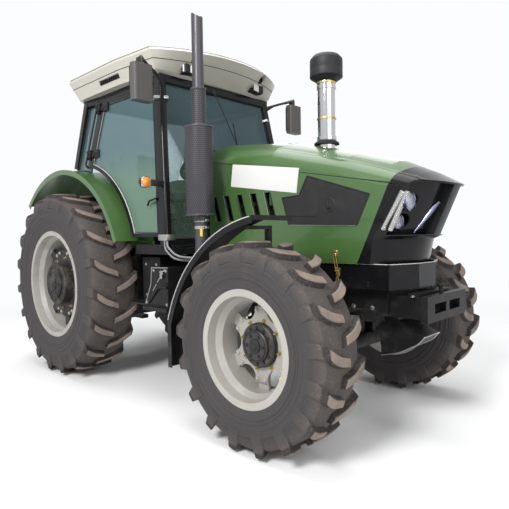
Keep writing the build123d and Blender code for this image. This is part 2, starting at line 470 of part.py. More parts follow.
def front_fender(side):
    """Front fender: an arched sheet with an edge lip, a straight flap and a flat tip."""
    cx, cz, r, t = WHEELBASE + FENDER_DX, AXLE_Z + FENDER_DZ, FENDER_R, FENDER_T
    y0, y1 = side * FENDER_IN_Y, side * FENDER_OUT_Y
    edge = y1 - side * t
    sheet = strip(cx, cz, r, t, FENDER_TOP, FENDER_LOW, y0, y1)
    lip = strip(cx, cz, r - FENDER_LIP, FENDER_LIP + t, FENDER_TOP, FENDER_LOW, edge, y1)

    def rim_point(radius, angle):
        return cx + radius * cos(radians(angle)), cz + radius * sin(radians(angle))

    (low_x, low_z), (top_x, top_z) = rim_point(r + t, FENDER_LOW), rim_point(r + t, FENDER_TOP)
    tip_x = WHEELBASE + FENDER_TIP_X
    flap = block(low_x, low_x + t, y0, y1, FENDER_FLAP_Z, low_z + t)
    flap_lip = block(low_x, low_x + FENDER_LIP, edge, y1, FENDER_FLAP_Z, low_z + t)

    def tip_plate(depth, ya, yb):
        """Plate that runs forward from the arc's top with a small fall."""
        end_z = top_z - FENDER_TIP_DROP
        outline = ((top_x - 2, top_z - depth), (top_x - 2, top_z), (tip_x, end_z), (tip_x, end_z - depth))
        return side_plate(outline, ya, yb)

    return sheet.fuse(lip, flap, flap_lip, tip_plate(t, y0, y1), tip_plate(FENDER_TIP_LIP, edge, y1))


# ---------------------------------------------------------------- frame, engine, gearbox
def make_front_frame():
    """Front frame: two rails, the weight carrier with its slots and the posts under the band."""
    outer = RAIL_Y + RAIL_T
    rails = [block(RAIL_X0, RAIL_X1, side * RAIL_Y, side * outer, RAIL_Z0, RAIL_Z1) for _, side in SIDES]
    cross = block(RAIL_X1 - CROSS_L, RAIL_X1, -outer, outer, RAIL_Z0, RAIL_Z1)
    saddle = block(WHEELBASE - CRADLE_HALF_L, WHEELBASE + CRADLE_HALF_L, -RAIL_Y - 2, RAIL_Y + 2,
                   RAIL_Z0, RAIL_Z0 + SADDLE_H)
    floor = block(ENGINE_X1 + GAP, RAIL_X1, -RAIL_Y - 2, RAIL_Y + 2, RAIL_Z1 - FRAME_PLATE_T, RAIL_Z1)
    face_x = CARRIER_X - CARRIER_T
    arms = [block(RAIL_X1 - FUSE, face_x + FUSE, side * (RAIL_Y - 5), side * outer,
                  CARRIER_ARM_Z0, CARRIER_ARM_Z1) for _, side in SIDES]
    plate = block(face_x, CARRIER_X, -CARRIER_W / 2, CARRIER_W / 2, CARRIER_Z0, CARRIER_Z1)
    slots = [block(face_x - FUSE, CARRIER_X + FUSE, side * SLOT_Y0, side * SLOT_Y1, SLOT_Z0, SLOT_Z1)
             for _, side in SIDES]
    bolt_bar = block(CARRIER_X - CARRIER_BAR_X0, CARRIER_X - CARRIER_BAR_X1, -outer, outer,
                     CARRIER_ARM_Z1 - 2, CARRIER_ARM_Z1 + CARRIER_BAR_T)
    posts = []
    for _, side in SIDES:
        posts.append(block(BAND_POST_X0, BAND_POST_X1, side * (outer - 2), side * (outer + BAND_POST_T),
                           BAND_POST_Z, BAND_Z0 - GAP))
        centre = Pos((BAND_POST_X0 + BAND_POST_X1) / 2, side * (outer - BAND_RING_R / 2), BAND_POST_Z)
        posts.append(centre * Cylinder(BAND_RING_R, BAND_RING_H))
    guard = side_plate([(WHEELBASE + x, z) for x, z in GUARD_POINTS], -GUARD_HALF_W, GUARD_HALF_W)
    stem = block(RAIL_X1 - CROSS_L + GUARD_STEM_IN, RAIL_X1 - GUARD_STEM_IN, -GUARD_HALF_W, GUARD_HALF_W,
                 GUARD_POINTS[0][1] - GUARD_STEM_IN, RAIL_Z0 + FUSE)
    frame = rails[0].fuse(rails[1], cross, saddle, floor, *arms, bolt_bar, *posts, guard, stem)
    keep("front_frame", frame.fuse(without(plate, slots)))


def make_driveline():
    """Engine as one plain block, gearbox with its clutch housing, and the rear axle."""
    keep("engine_block", block(ENGINE_X0, ENGINE_X1, -ENGINE_W / 2, ENGINE_W / 2, ENGINE_Z0, ENGINE_Z1))
    box = block(GEARBOX_X0 + GAP, ENGINE_X0 - GAP, -GEARBOX_W / 2, GEARBOX_W / 2, GEARBOX_Z0, GEARBOX_Z1)
    bell = bar((ENGINE_X0 - BELL_L, 0, BELL_Z), (ENGINE_X0 - GAP, 0, BELL_Z), BELL_R)
    keep("gearbox", box.fuse(bell))
    keep("radiator", block(RADIATOR_X0, RADIATOR_X1, -RADIATOR_Y, RADIATOR_Y, RAIL_Z1 + GAP, RADIATOR_TOP))

    half = HOUSING_W / 2
    centre = block(HOUSING_X0, HOUSING_X1, -half, half, HOUSING_Z0, HOUSING_Z1)
    shaft = bar((HOUSING_X0 - PTO_L, 0, PTO_Z), (HOUSING_X0 + FUSE, 0, PTO_Z), PTO_R)
    back = HOUSING_X0 - PTO_GUARD_L
    guard_z = PTO_Z + PTO_GUARD_H
    guard = [block(back, HOUSING_X0 + FUSE, -PTO_GUARD_Y, PTO_GUARD_Y, guard_z, guard_z + PTO_GUARD_T)]
    pieces = []
    for _, side in SIDES:
        cheek = ((back, guard_z + 2), (HOUSING_X0 + FUSE, guard_z + 2), (HOUSING_X0 + FUSE, PTO_Z - 20))
        guard.append(side_plate(cheek, side * PTO_GUARD_Y, side * (PTO_GUARD_Y - PTO_GUARD_T)))
        pieces.append(cross_bar(LINK_X, side * (half - FUSE), side * (LINK_FRONT_Y + 36), LINK_Z, LINK_PIN_R))
        pieces.append(block(LINK_X - 50, LINK_X + 50, side * (half - 40), side * half,
                            LINK_Z - 40, HOUSING_Z0 + FUSE))
        pieces.append(cross_bar(0, side * (half - FUSE), side * TRUMPET_Y, REAR_TYRE_R, TRUMPET_R))
        pieces.append(cross_bar(0, side * (half - FUSE), side * (half + TRUMPET_FLANGE), REAR_TYRE_R,
                                TRUMPET_R + 34))
        pieces.append(cross_bar(0, side * (TRUMPET_Y - 10), side * (REAR_HUB_IN + SPINDLE_L), REAR_TYRE_R,
                                REAR_SPINDLE_R))
    keep("rear_axle", centre.fuse(shaft, *guard, *pieces))


# ---------------------------------------------------------------- bonnet
def bonnet_outline(x, w, side, ridge, inset=0.0):
    """Cross-section of the bonnet at x: upright sides, round corners and a crown."""
    w, side, ridge = w - inset, side - inset * 0.3, ridge - inset
    corner_y, corner_z = 0.74 * w, side + 0.62 * (ridge - side)
    bend_y, bend_z = 0.925 * w, side + 0.36 * (ridge - side)
    low = BONNET_LOW_Z - (400.0 if inset else 0.0)
    plane = Plane(origin=(x, 0, 0), x_dir=(0, 1, 0), z_dir=(1, 0, 0))
    return plane * make_face([
        Line((w, low), (w, side)),
        ThreePointArc((w, side), (bend_y, bend_z), (corner_y, corner_z)),
        ThreePointArc((corner_y, corner_z), (0, ridge), (-corner_y, corner_z)),
        ThreePointArc((-corner_y, corner_z), (-bend_y, bend_z), (-w, side)),
        Line((-w, side), (-w, low)),
        Line((-w, low), (w, low)),
    ])


def nose_outline(z, corner_x, middle_x, inset=0.0):
    """Plan of the nose at a height: an arc between its corners, then sides that flare back."""
    corner_x, middle_x = corner_x - inset, middle_x - inset
    front = ThreePointArc((corner_x, -NOSE_Y), (middle_x, 0), (corner_x, NOSE_Y))
    flare_x, back_x = corner_x - NOSE_FLARE_X, BONNET_HINGE_X - NOSE_FLARE_X
    rest = Polyline((corner_x, NOSE_Y), (flare_x, NOSE_FLARE_Y), (back_x, NOSE_FLARE_Y),
                    (back_x, -NOSE_FLARE_Y), (flare_x, -NOSE_FLARE_Y), (corner_x, -NOSE_Y))
    return Plane(origin=(0, 0, z)) * make_face([front, *rest.edges()])


def bonnet_body(inset=0.0):
    """The solid inside the bonnet's surface, or inside its inner surface."""
    return loft([bonnet_outline(*row, inset=inset) for row in BONNET_SECTIONS], ruled=True)


def nose_body(inset=0.0):
    """Everything behind the nose's face, or behind a face set deeper."""
    return loft([nose_outline(*row, inset=inset) for row in NOSE_SECTIONS], ruled=True)


def recess_block(side, margin):
    """The lamp recess on one side, as a block along X with a margin for its walls."""
    x0, x1 = NOSE_SECTIONS[0][1] - 250.0, NOSE_SECTIONS[-1][2]
    return block(x0, x1, side * (RECESS_Y0 - margin), side * (RECESS_Y1 + margin), RECESS_Z - margin, 2200)


def make_bonnet():
    """Bonnet shell with its louvres and screens, and the nose with its recessed lamps."""
    outer, inner, face = bonnet_body(), bonnet_body(BONNET_T), nose_body()
    shell = (outer & face) - (inner & nose_body(NOSE_T))
    (tx, tz), (lx, lz) = SPLIT_TOP, SPLIT_LOW
    slope = (tx - lx) / (tz - lz)
    far, up, down = ENGINE_X0 - 600.0, CAB_FRONT_TOP[2], BONNET_LOW_Z - 400.0
    cut_low, cut_top = (lx + slope * (down - lz), down), (lx + slope * (up - lz), up)
    behind = side_plate(((far, down), cut_low, cut_top, (far, up)), -800, 800)
    bonnet, nose = shell & behind, shell - behind
    slots = []
    for i in range(LOUVRES):
        x = LOUVRE_X + i * LOUVRE_PITCH
        low_x = x + LOUVRE_LEAN
        slots.append(side_plate(((x, LOUVRE_TOP), (x + LOUVRE_W, LOUVRE_TOP), (low_x + LOUVRE_W, LOUVRE_LOW),
                                 (low_x, LOUVRE_LOW)), -600, 600))
    opening = side_plate(SCREEN_POINTS, -600, 600)
    bonnet = without(bonnet, slots)
    keep("side_screens", bonnet & opening)
    keep("bonnet_shell", (bonnet - opening).fuse(*bonnet_hinges(outer)))

    # recess on each side of the nose: the face is cut away over a tray set deeper
    tray_back, floor = nose_body(RECESS_DEPTH + BONNET_T), nose_body(RECESS_DEPTH)
    lamps = []
    for _, side in SIDES:
        hollow = recess_block(side, 0.0) - floor
        hollow = hollow & inner
        tray = (recess_block(side, BONNET_T) & outer & face) - tray_back - hollow
        nose = (nose - hollow).fuse(tray)
        for y, z, r, front_x in HEADLAMPS:
            back, front = (front_x - HEADLAMP_L, side * y, z), (front_x, side * y, z)
            hole = Pos(front_x, side * y, z) * Rot(0, 90, 0) * Cylinder(r + GAP, 3 * HEADLAMP_L)
            nose = nose - hole
            lamps.append(bar(back, front, r))
    keep("bonnet_nose", nose)
    keep("headlamps", *lamps)


def bonnet_hinges(body):
    """Barrels of the two rear hinges on leaves that reach up to the bonnet's skin."""
    pieces = []
    for _, side in SIDES:
        x, y, z, half = BONNET_HINGE_X, side * BONNET_HINGE_Y, BONNET_HINGE_Z, BONNET_BARREL_L / 2
        leaf = block(x - 12, x + 12, y - half, y + half, z, z + 90) & body
        barrel = cross_bar(x, y - half, y + half, z, BONNET_BARREL_R)
        bore = cross_bar(x, y - 2 * half, y + 2 * half, z, BONNET_PIN_R + PIN_PLAY)
        pieces.append(leaf.fuse(barrel) - bore)
    return pieces


def hinge_brackets():
    """Ears on the cowl with the pins of the bonnet's hinges."""
    pieces, z = [], BONNET_HINGE_Z
    for _, side in SIDES:
        y = side * BONNET_HINGE_Y
        half = BONNET_BARREL_L / 2 + 2
        x0, x1 = COWL_FRONT_X - FUSE, BONNET_HINGE_X + 12
        for s in (-1, 1):
            ear = ((x0, z - 80), (x0, z - 30), (x1 - 20, z + 12), (x1, z + 12), (x1, z - 14))
            pieces.append(side_plate(ear, y + s * half, y + s * (half + 8)))
        pieces.append(cross_bar(BONNET_HINGE_X, y - half - 8, y + half + 8, z, BONNET_PIN_R))
    return pieces


# ---------------------------------------------------------------- front band, intake, exhaust
def make_band():
    """Black band round the front under the bonnet, on tabs from the rails."""
    x0, xc, x1, y, ends = BAND_X0, BAND_CORNER_X, BAND_X1, BAND_Y, BAND_FLAT_Y
    outline = make_face(Polyline((x0, -y), (xc, -y), (x1, -ends), (x1, ends), (xc, y), (x0, y), close=True))
    plane, height = Plane(origin=(0, 0, BAND_Z0)), BAND_Z1 - BAND_Z0
    hollow = extrude(plane * offset(outline, -BAND_T, kind=Kind.INTERSECTION), amount=height)
    back = block(x0 - FUSE, x0 + 2 * BAND_T, -y + BAND_T, y - BAND_T, BAND_Z0, BAND_Z1)
    band = extrude(plane * outline, amount=height) - hollow - back
    tabs = [block(x, x + BAND_TAB_L, side * (RAIL_Y + RAIL_T + GAP), side * (y - BAND_T + FUSE),
                  BAND_Z0 + 2 * FUSE, RAIL_Z1) for _, side in SIDES for x in BAND_TABS]
    keep("front_band", band.fuse(*tabs))


def make_intake():
    """Air intake on the bonnet with its wide cap, trimmed by the bonnet's skin."""
    x, y, r = INTAKE_X, INTAKE_Y, INTAKE_R
    top = ridge_z(x)
    pipe = upright(x, y, top - 60, INTAKE_TOP, r)
    rings = [Pos(x, y, z) * Cylinder(r + INTAKE_RING, INTAKE_RING_H) for z in (top + 60, INTAKE_TOP - 60)]
    # section of the cap: radius, height
    section = ((0, INTAKE_TOP - 10), (r + 12, INTAKE_TOP - 10), (CAP_R, INTAKE_TOP + 22),
               (CAP_R, CAP_TOP - 36), (CAP_R - 24, CAP_TOP), (0, CAP_TOP))
    plane = Plane(origin=(x, y, 0), x_dir=(1, 0, 0), z_dir=(0, -1, 0))
    cap = revolve(plane * make_face(Polyline(*section, close=True)), axis=Axis((x, y, 0), (0, 0, 1)))
    keep("air_intake", biggest(pipe.fuse(*rings, cap) - NODES["bonnet_shell"][0]))


def ridge_z(x):
    """Height of the bonnet's ridge at x."""
    for (xa, _, _, za), (xb, _, _, zb) in zip(BONNET_SECTIONS, BONNET_SECTIONS[1:]):
        if xa <= x <= xb:
            return za + (zb - za) * (x - xa) / (xb - xa)
    return BONNET_SECTIONS[0][3]


def make_exhaust():
    """Exhaust: an elbow from the engine, the can, the guard and the slanted stack."""
    x, y = EXHAUST_X, EXHAUST_Y
    can = upright(x, y, CAN_Z0, CAN_Z1, CAN_R)
    guard = upright(x, y, CAN_Z1 - FUSE, GUARD_TOP, GUARD_R)
    stack = upright(x, y, GUARD_TOP - FUSE, STACK_TOP, STACK_R)
    stack = stack - upright(x, y, GUARD_TOP + 100, STACK_TOP + 10, STACK_R - STACK_WALL)
    stack = stack - Pos(x, y, STACK_TOP) * Rot(0, STACK_CUT, 0) * Pos(0, 0, 60) * Box(400, 200, 120)
    flange = upright(x, y, CAN_Z0 - 40, CAN_Z0 + FUSE, FLANGE_R)
    route = [(x, y, CAN_Z0 - 30), (x, y, ELBOW_Z), (x, -ENGINE_W / 2 - GAP, ELBOW_Z)]
    keep("exhaust", can.fuse(guard, stack, flange, tube_path(route, ELBOW_R, ELBOW_BEND)))


# ---------------------------------------------------------------- cab
def post_point(low, top, z, side, dx=0.0, dy=0.0):
    """Point of a leaning post's line at a height, moved along X and across."""
    t = (z - low[2]) / (top[2] - low[2])
    return (low[0] + t * (top[0] - low[0]) + dx, side * (low[1] + t * (top[1] - low[1]) + dy), z)


def side_plane(side, out=0.0):
    """Plane of the doors and side glass: through the front post and the rear hinge line."""
    a = Vector(CAB_FRONT_LOW[0], side * CAB_FRONT_LOW[1], CAB_FRONT_LOW[2])
    b = Vector(CAB_FRONT_TOP[0], side * CAB_FRONT_TOP[1], CAB_FRONT_TOP[2])
    c = Vector(DOOR_HINGE_TOP[0], side * DOOR_HINGE_TOP[1], DOOR_HINGE_TOP[2])
    normal = (b - a).cross(c - a).normalized()
    if normal.Y * side < 0:
        normal = normal * -1
    return Plane(origin=c + normal * out, x_dir=(a - c).normalized(), z_dir=normal)


def slab(side, thickness, out=0.0):
    """Wide plate in the doors' plane."""
    return extrude(side_plane(side, out) * Rectangle(6000, 6000), amount=thickness / 2, both=True)


def door_y(x, z, side):
    """Distance across at which the doors' plane passes a point of the side view."""
    plane = side_plane(side)
    normal, origin = plane.z_dir, plane.origin
    return origin.Y - (normal.X * (x - origin.X) + normal.Z * (z - origin.Z)) / normal.Y


def door_outline(inset=0.0):
    """Door edge in the side view: front post, roof rail, hinge line and fender curve."""
    lean = (CAB_FRONT_TOP[0] - CAB_FRONT_LOW[0]) / (CAB_FRONT_TOP[2] - CAB_FRONT_LOW[2])
    hinge = (DOOR_HINGE_TOP[0] - DOOR_HINGE_LOW[0]) / (DOOR_HINGE_TOP[2] - DOOR_HINGE_LOW[2])
    reach, cz = REAR_FENDER_R + 60, REAR_TYRE_R

    def front(z):
        return CAB_FRONT_LOW[0] + lean * (z - CAB_FRONT_LOW[2]) - A_POST_BACK - MOVE

    def rear(z):
        return DOOR_HINGE_LOW[0] + hinge * (z - DOOR_HINGE_LOW[2]) + HINGE_R

    low, top = CAB_FRONT_LOW[2] + 22, CAB_FRONT_TOP[2] - POST / 2 - MOVE
    x_low = sqrt(reach ** 2 - (low - cz) ** 2)
    z_join = DOOR_HINGE_LOW[2]
    for _ in range(30):
        z_join = cz + sqrt(reach ** 2 - rear(z_join) ** 2)
    mid = radians((degrees(atan2(low - cz, x_low)) + degrees(atan2(z_join - cz, rear(z_join)))) / 2)
    face = make_face([
        Line((front(low), low), (front(top), top)),
        Line((front(top), top), (rear(top), top)),
        Line((rear(top), top), (rear(z_join), z_join)),
        ThreePointArc((rear(z_join), z_join), (reach * cos(mid), cz + reach * sin(mid)), (x_low, low)),
        Line((x_low, low), (front(low), low)),
    ])
    return offset(face, -inset) if inset else face


def door_prism(side, inset=0.0):
    """The door's outline extruded across one side of the cab."""
    plane = Plane(origin=(0, 1000 if side > 0 else -400, 0), x_dir=(1, 0, 0), z_dir=(0, -1, 0))
    return extrude(plane * door_outline(inset), amount=600)


def hinge_point(at, side):
    """Point of the door's hinge axis, which stands off the outer face."""
    return Vector(at[0], side * at[1], at[2]) + side_plane(side).z_dir * (DOOR_T / 2 + HINGE_R + HINGE_STAND)


def hinge_frame(at, side):
    """Plane at a hinge, z along the axis and x forward, and the sign of y that points outward."""
    axis = (hinge_point(DOOR_HINGE_TOP, side) - hinge_point(DOOR_HINGE_LOW, side)).normalized()
    outward = side_plane(side).z_dir
    forward = axis.cross(outward)
    if forward.X < 0:
        forward = forward * -1
    plane = Plane(origin=hinge_point(at, side), x_dir=forward, z_dir=axis)
    return plane, (1 if plane.y_dir.dot(outward) > 0 else -1)


def hinge_post_part(at, side):
    """Two ears on the middle post with the hinge's pin."""
    plane, out = hinge_frame(at, side)
    reach = DOOR_T / 2 + HINGE_R + HINGE_STAND + 8
    middle = -out * (reach - HINGE_R + 2) / 2
    ears = [plane.location * Pos(-17, middle, z) * Box(50, reach + HINGE_R - 2, 10) for z in (-32, 32)]
    return [*ears, plane.location * Cylinder(HINGE_PIN_R, HINGE_L + 24)]


def hinge_door_part(at, side):
    """Barrel and leaf on the door."""
    plane, out = hinge_frame(at, side)
    barrel = plane.location * Cylinder(HINGE_R, HINGE_L)
    leaf = plane.location * Pos(24, -out * (HINGE_R / 2 + 1), 0) * Box(48, HINGE_R + 2, HINGE_L)
    return barrel.fuse(leaf) - plane.location * Cylinder(HINGE_PIN_R + 0.1, 200)


def door_handle(side):
    """Bent lever on the door's front strip."""
    def at(x, z, out):
        return (x, door_y(x, z, side) + side * out, z)

    back_x, low_z = HANDLE_X - HANDLE_L, HANDLE_Z - HANDLE_DROP
    points = (at(HANDLE_X, HANDLE_Z, 0.0), at(HANDLE_X, HANDLE_Z, HANDLE_OUT),
              at(back_x, HANDLE_Z - 14, HANDLE_OUT), at(back_x - 20, low_z, HANDLE_OUT))
    pieces = [bar(a, b, HANDLE_R) for a, b in zip(points, points[1:])]
    return pieces + [Pos(*p) * Sphere(HANDLE_R) for p in points[1:3]]


def cab_cage():
    """Posts, rails and headers of the cab, with the door hinges' ears."""
    top_z = CAB_FRONT_TOP[2]
    a_dx = A_POST_L / 2 - A_POST_BACK
    frame = []
    for _, side in SIDES:
        a_low = post_point(CAB_FRONT_LOW, CAB_FRONT_TOP, CAB_FLOOR_Z + 60, side, dx=a_dx)
        a_top = post_point(CAB_FRONT_LOW, CAB_FRONT_TOP, top_z, side, dx=a_dx)
        b_low = post_point(DOOR_HINGE_LOW, DOOR_HINGE_TOP, 2000, side, dx=-B_POST_BACK, dy=-B_POST_IN)
        b_top = post_point(DOOR_HINGE_LOW, DOOR_HINGE_TOP, top_z, side, dx=-B_POST_BACK, dy=-B_POST_IN)
        c_low = post_point(CAB_REAR_LOW, CAB_REAR_TOP, 2010, side)
        c_top = post_point(CAB_REAR_LOW, CAB_REAR_TOP, top_z, side)
        frame += [beam(a_low, a_top, A_POST_L, POST, corner=A_POST_ROUND), beam(c_low, c_top, POST, POST),
                  beam(b_low, b_top, POST, POST - 14), beam(a_top, b_top, POST, POST, x_dir=(0, 1, 0)),
                  beam(b_top, c_top, POST, POST, x_dir=(0, 1, 0))]
        for at in (DOOR_HINGE_LOW, DOOR_HINGE_TOP):
            frame += hinge_post_part(at, side)
    for low, top in ((CAB_FRONT_LOW, CAB_FRONT_TOP), (CAB_REAR_LOW, CAB_REAR_TOP)):
        ends = [post_point(low, top, top_z, side, dy=POST / 2) for _, side in SIDES]
        frame.append(beam(*ends, POST, POST))
    return frame[0].fuse(*frame[1:])


def rear_fender(side):
    """Rear fender: an arched sheet, an edge lip and the wall beside the cab."""
    y0, y1 = side * REAR_FENDER_IN_Y, side * REAR_FENDER_OUT_Y
    r, t, lip = REAR_FENDER_R, REAR_FENDER_T, REAR_FENDER_LIP
    span = (REAR_FENDER_FRONT, REAR_FENDER_BACK)
    sheet = strip(0, REAR_TYRE_R, r, t, *span, y0, y1)
    edge = strip(0, REAR_TYRE_R, r - lip, lip + t, *span, y1, y1 - side * t)
    plane = Plane(origin=(0, max(y0, y0 - side * t), REAR_TYRE_R), x_dir=(1, 0, 0), z_dir=(0, -1, 0))
    sector = Circle(r + t) & Pos(0, r + REAR_FENDER_CHORD) * Rectangle(4 * r, 2 * r)
    x0, x1 = r * cos(radians(REAR_FENDER_BACK)) - 16, r + 100
    wall = extrude(plane * sector, amount=t) & block(x0, x1, -2000, 2000, 0, 4000)
    return sheet.fuse(edge, wall)


def cab_base():
    """Floor of the cab with its sills, rear panel and feet on the gearbox."""
    y = REAR_FENDER_IN_Y - REAR_FENDER_T - GAP
    z0, z1, front = CAB_FLOOR_Z, CAB_FLOOR_Z + CAB_FLOOR_T, CAB_FRONT_LOW[0] + 40
    edge = CAB_FRONT_LOW[1] + SILL_OUT
    floor = block(CAB_BACK_X, WELL_X1, -y, y, z0, z1)
    pieces = [block(WELL_X0, COWL_FRONT_X, -FLOOR_FOOT_Y1, FLOOR_FOOT_Y1, z0, z1),
              block(CAB_BACK_X, CAB_BACK_X + REAR_PANEL_T, -y, y, z0, REAR_PANEL_TOP)]
    for _, side in SIDES:
        pieces.append(block(SILL_X - 10, front, side * WELL_Y0, side * edge, z0, z1))
        pieces.append(block(SILL_X, front, side * (CAB_FRONT_LOW[1] - SILL_IN), side * edge, z0, z0 + SILL_H))
        for x in FLOOR_FEET:
            pieces.append(block(x, x + FLOOR_FOOT_L, side * FLOOR_FOOT_Y0, side * FLOOR_FOOT_Y1,
                                GEARBOX_Z1 + GAP, z0 + FUSE))
    return floor.fuse(*pieces)


def leaning_pane(low, top, low_half, top_half):
    """Flat pane across the cab between two heights of a leaning plane."""
    low, top = Vector(*low), Vector(*top)
    normal = Vector(0, 1, 0).cross((top - low).normalized())
    plane = Plane(origin=low, x_dir=(0, 1, 0), z_dir=normal)
    height = (top - low).length * (1 if plane.y_dir.Z > 0 else -1)
    outline = Polyline((-low_half, 0), (low_half, 0), (top_half, height), (-top_half, height), close=True)
    return extrude(plane * make_face(outline), amount=GLASS_T / 2, both=True)


def make_cab():
    """Cab frame, floor, cowl, rear fenders and the fixed glass."""
    cage, base = cab_cage(), cab_base()
    fenders = [rear_fender(side) for _, side in SIDES]
    keep("cab_floor", base - cage)
    cowl_z = CAB_FLOOR_Z + CAB_FLOOR_T + GAP
    cowl = side_plate(((CAB_FRONT_LOW[0] + 50, cowl_z), (COWL_FRONT_X, cowl_z), (COWL_FRONT_X, COWL_TOP),
                       (COWL_BACK_X, COWL_TOP)), -COWL_Y, COWL_Y)
    cowl = cowl.fuse(*hinge_brackets())
    keep("cowl", cowl - cage)
    keep("cab_frame", biggest(without(cage, fenders)))
    keep("rear_fenders", *fenders)

    front_low, front_top = (CAB_FRONT_LOW[0], 0, CAB_FRONT_LOW[2]), (CAB_FRONT_TOP[0], 0, CAB_FRONT_TOP[2])
    rear_low, rear_top = (CAB_BACK_X + 25, 0, REAR_PANEL_TOP + 5), (CAB_REAR_TOP[0], 0, CAB_REAR_TOP[2])
    screen = leaning_pane(front_low, front_top, CAB_FRONT_LOW[1], CAB_FRONT_TOP[1])
    rear = leaning_pane(rear_low, rear_top, REAR_FENDER_IN_Y - REAR_FENDER_T - 4, CAB_REAR_TOP[1])
    panes = [without(screen, (cage, base, cowl)), without(rear, (cage, base, *fenders))]
    outside = Pos(0, 0, REAR_TYRE_R) * Rot(90, 0, 0) * Cylinder(REAR_FENDER_R + REAR_FENDER_T + GAP, 4100)
    top_z = CAB_FRONT_TOP[2]
    for (_, side), fender in zip(SIDES, fenders):
        low_z = CAB_REAR_LOW[2] - 80
        outline = ((CAB_REAR_LOW[0], low_z), (DOOR_HINGE_LOW[0] - 60, low_z),
                   (DOOR_HINGE_TOP[0] - 40, top_z), (CAB_REAR_TOP[0], top_z))
        quarter = side_plate(outline, side * 400, side * 1000)
        panes.append(without(quarter & slab(side, GLASS_T, -B_POST_IN), (cage, fender, outside)))
    keep("cab_glass", *[biggest(pane) for pane in panes])


def make_doors():
    """Doors: a thin frame with its hinges and handle round one sheet of glass."""
    for word, side in SIDES:
        opening = door_prism(side, DOOR_EDGE) & slab(side, DOOR_T + 20)
        frame = (door_prism(side) & slab(side, DOOR_T)) - opening
        hinges = [hinge_door_part(at, side) for at in (DOOR_HINGE_LOW, DOOR_HINGE_TOP)]
        keep(f"door_frame_{word}", frame.fuse(*hinges, *door_handle(side)))
        keep(f"door_glass_{word}", door_prism(side, DOOR_EDGE + GAP) & slab(side, GLASS_T))


def roof_outline(z, inset, nose, bulge):
    """Plan of the roof at a height: cut rear corners, straight sides and a rounded nose."""
    half, back, front = ROOF_Y - inset, ROOF_BACK_X + inset, ROOF_FRONT_X - inset - nose
    shoulder_x, shoulder_y, side_x = front - bulge, half - ROOF_SHOULDER, front - bulge - ROOF_SIDE_L
    corner = ROOF_CORNER
    arc = ThreePointArc((shoulder_x, -shoulder_y), (front, 0), (shoulder_x, shoulder_y))
    rest = Polyline((shoulder_x, shoulder_y), (side_x, half), (back + corner, half),
                    (back, half - corner), (back, -half + corner), (back + corner, -half),
                    (side_x, -half), (shoulder_x, -shoulder_y))
    return Plane(origin=(0, 0, z)) * make_face([arc, *rest.edges()])


def make_roof():
    """Roof cap with its front lamps, vents and side slots, and the turn and tail lamps."""
    roof = loft([roof_outline(*row) for row in ROOF_LEVELS], ruled=True)
    lamps, cuts = [], []
    lx, ly, lz = ROOF_LAMP
    for _, side in SIDES:
        seat = Pos(lx, side * ly, lz) * Rot(0, 0, -side * ROOF_LAMP_TURN)
        lamps.append(seat * Box(ROOF_LAMP_L, ROOF_LAMP_W, ROOF_LAMP_H))
        cuts.append(seat * Box(ROOF_LAMP_L + 2 * GAP, ROOF_LAMP_W + 2 * GAP, ROOF_LAMP_H + 2 * GAP))
        vent = (ROOF_VENT_X, side * ly, ROOF_VENT_Z)
        cuts.append(bar(vent, (ROOF_FRONT_X, *vent[1:]), ROOF_VENT_R))
        cuts.append(block(ROOF_SLOT_X0, ROOF_SLOT_X1, side * ROOF_SLOT_Y, side * ROOF_Y,
                          ROOF_SLOT_Z0, ROOF_SLOT_Z1))
        px, py, pz = post_point(CAB_FRONT_LOW, CAB_FRONT_TOP, TURN_LAMP_Z, side)
        end = py + side * (POST / 2 + HINGE_R / 2 + TURN_ARM)
        arm = biggest(cross_bar(px, py, end, pz, TURN_ARM_R) - NODES["cab_frame"][0])
        disc = Cylinder(TURN_LAMP_R, TURN_LAMP_T)
        disc = Pos(px, end + side * (TURN_LAMP_R - 6), pz) * Rot(0, 90, 0) * disc
        lamps.append(arm.fuse(disc))
        z0 = REAR_TYRE_R + REAR_FENDER_R + REAR_FENDER_T + GAP
        tail = block(-TAIL_LAMP_H / 2, TAIL_LAMP_H / 2, side * TAIL_LAMP_Y0, side * TAIL_LAMP_Y1,
                     z0 - FUSE, z0 + TAIL_LAMP_T)
        lamps.append(tail.rotate(Axis((0, 0, REAR_TYRE_R), (0, 1, 0)), -TAIL_LAMP_ANGLE))
    fender_skin = strip(0, REAR_TYRE_R, REAR_FENDER_R - 60, REAR_FENDER_T + 60 + GAP,
                        10.0, 150.0, -1000, 1000)
    keep("roof", without(roof, cuts))
    keep("cab_lamps", *[biggest(lamp - fender_skin) for lamp in lamps])


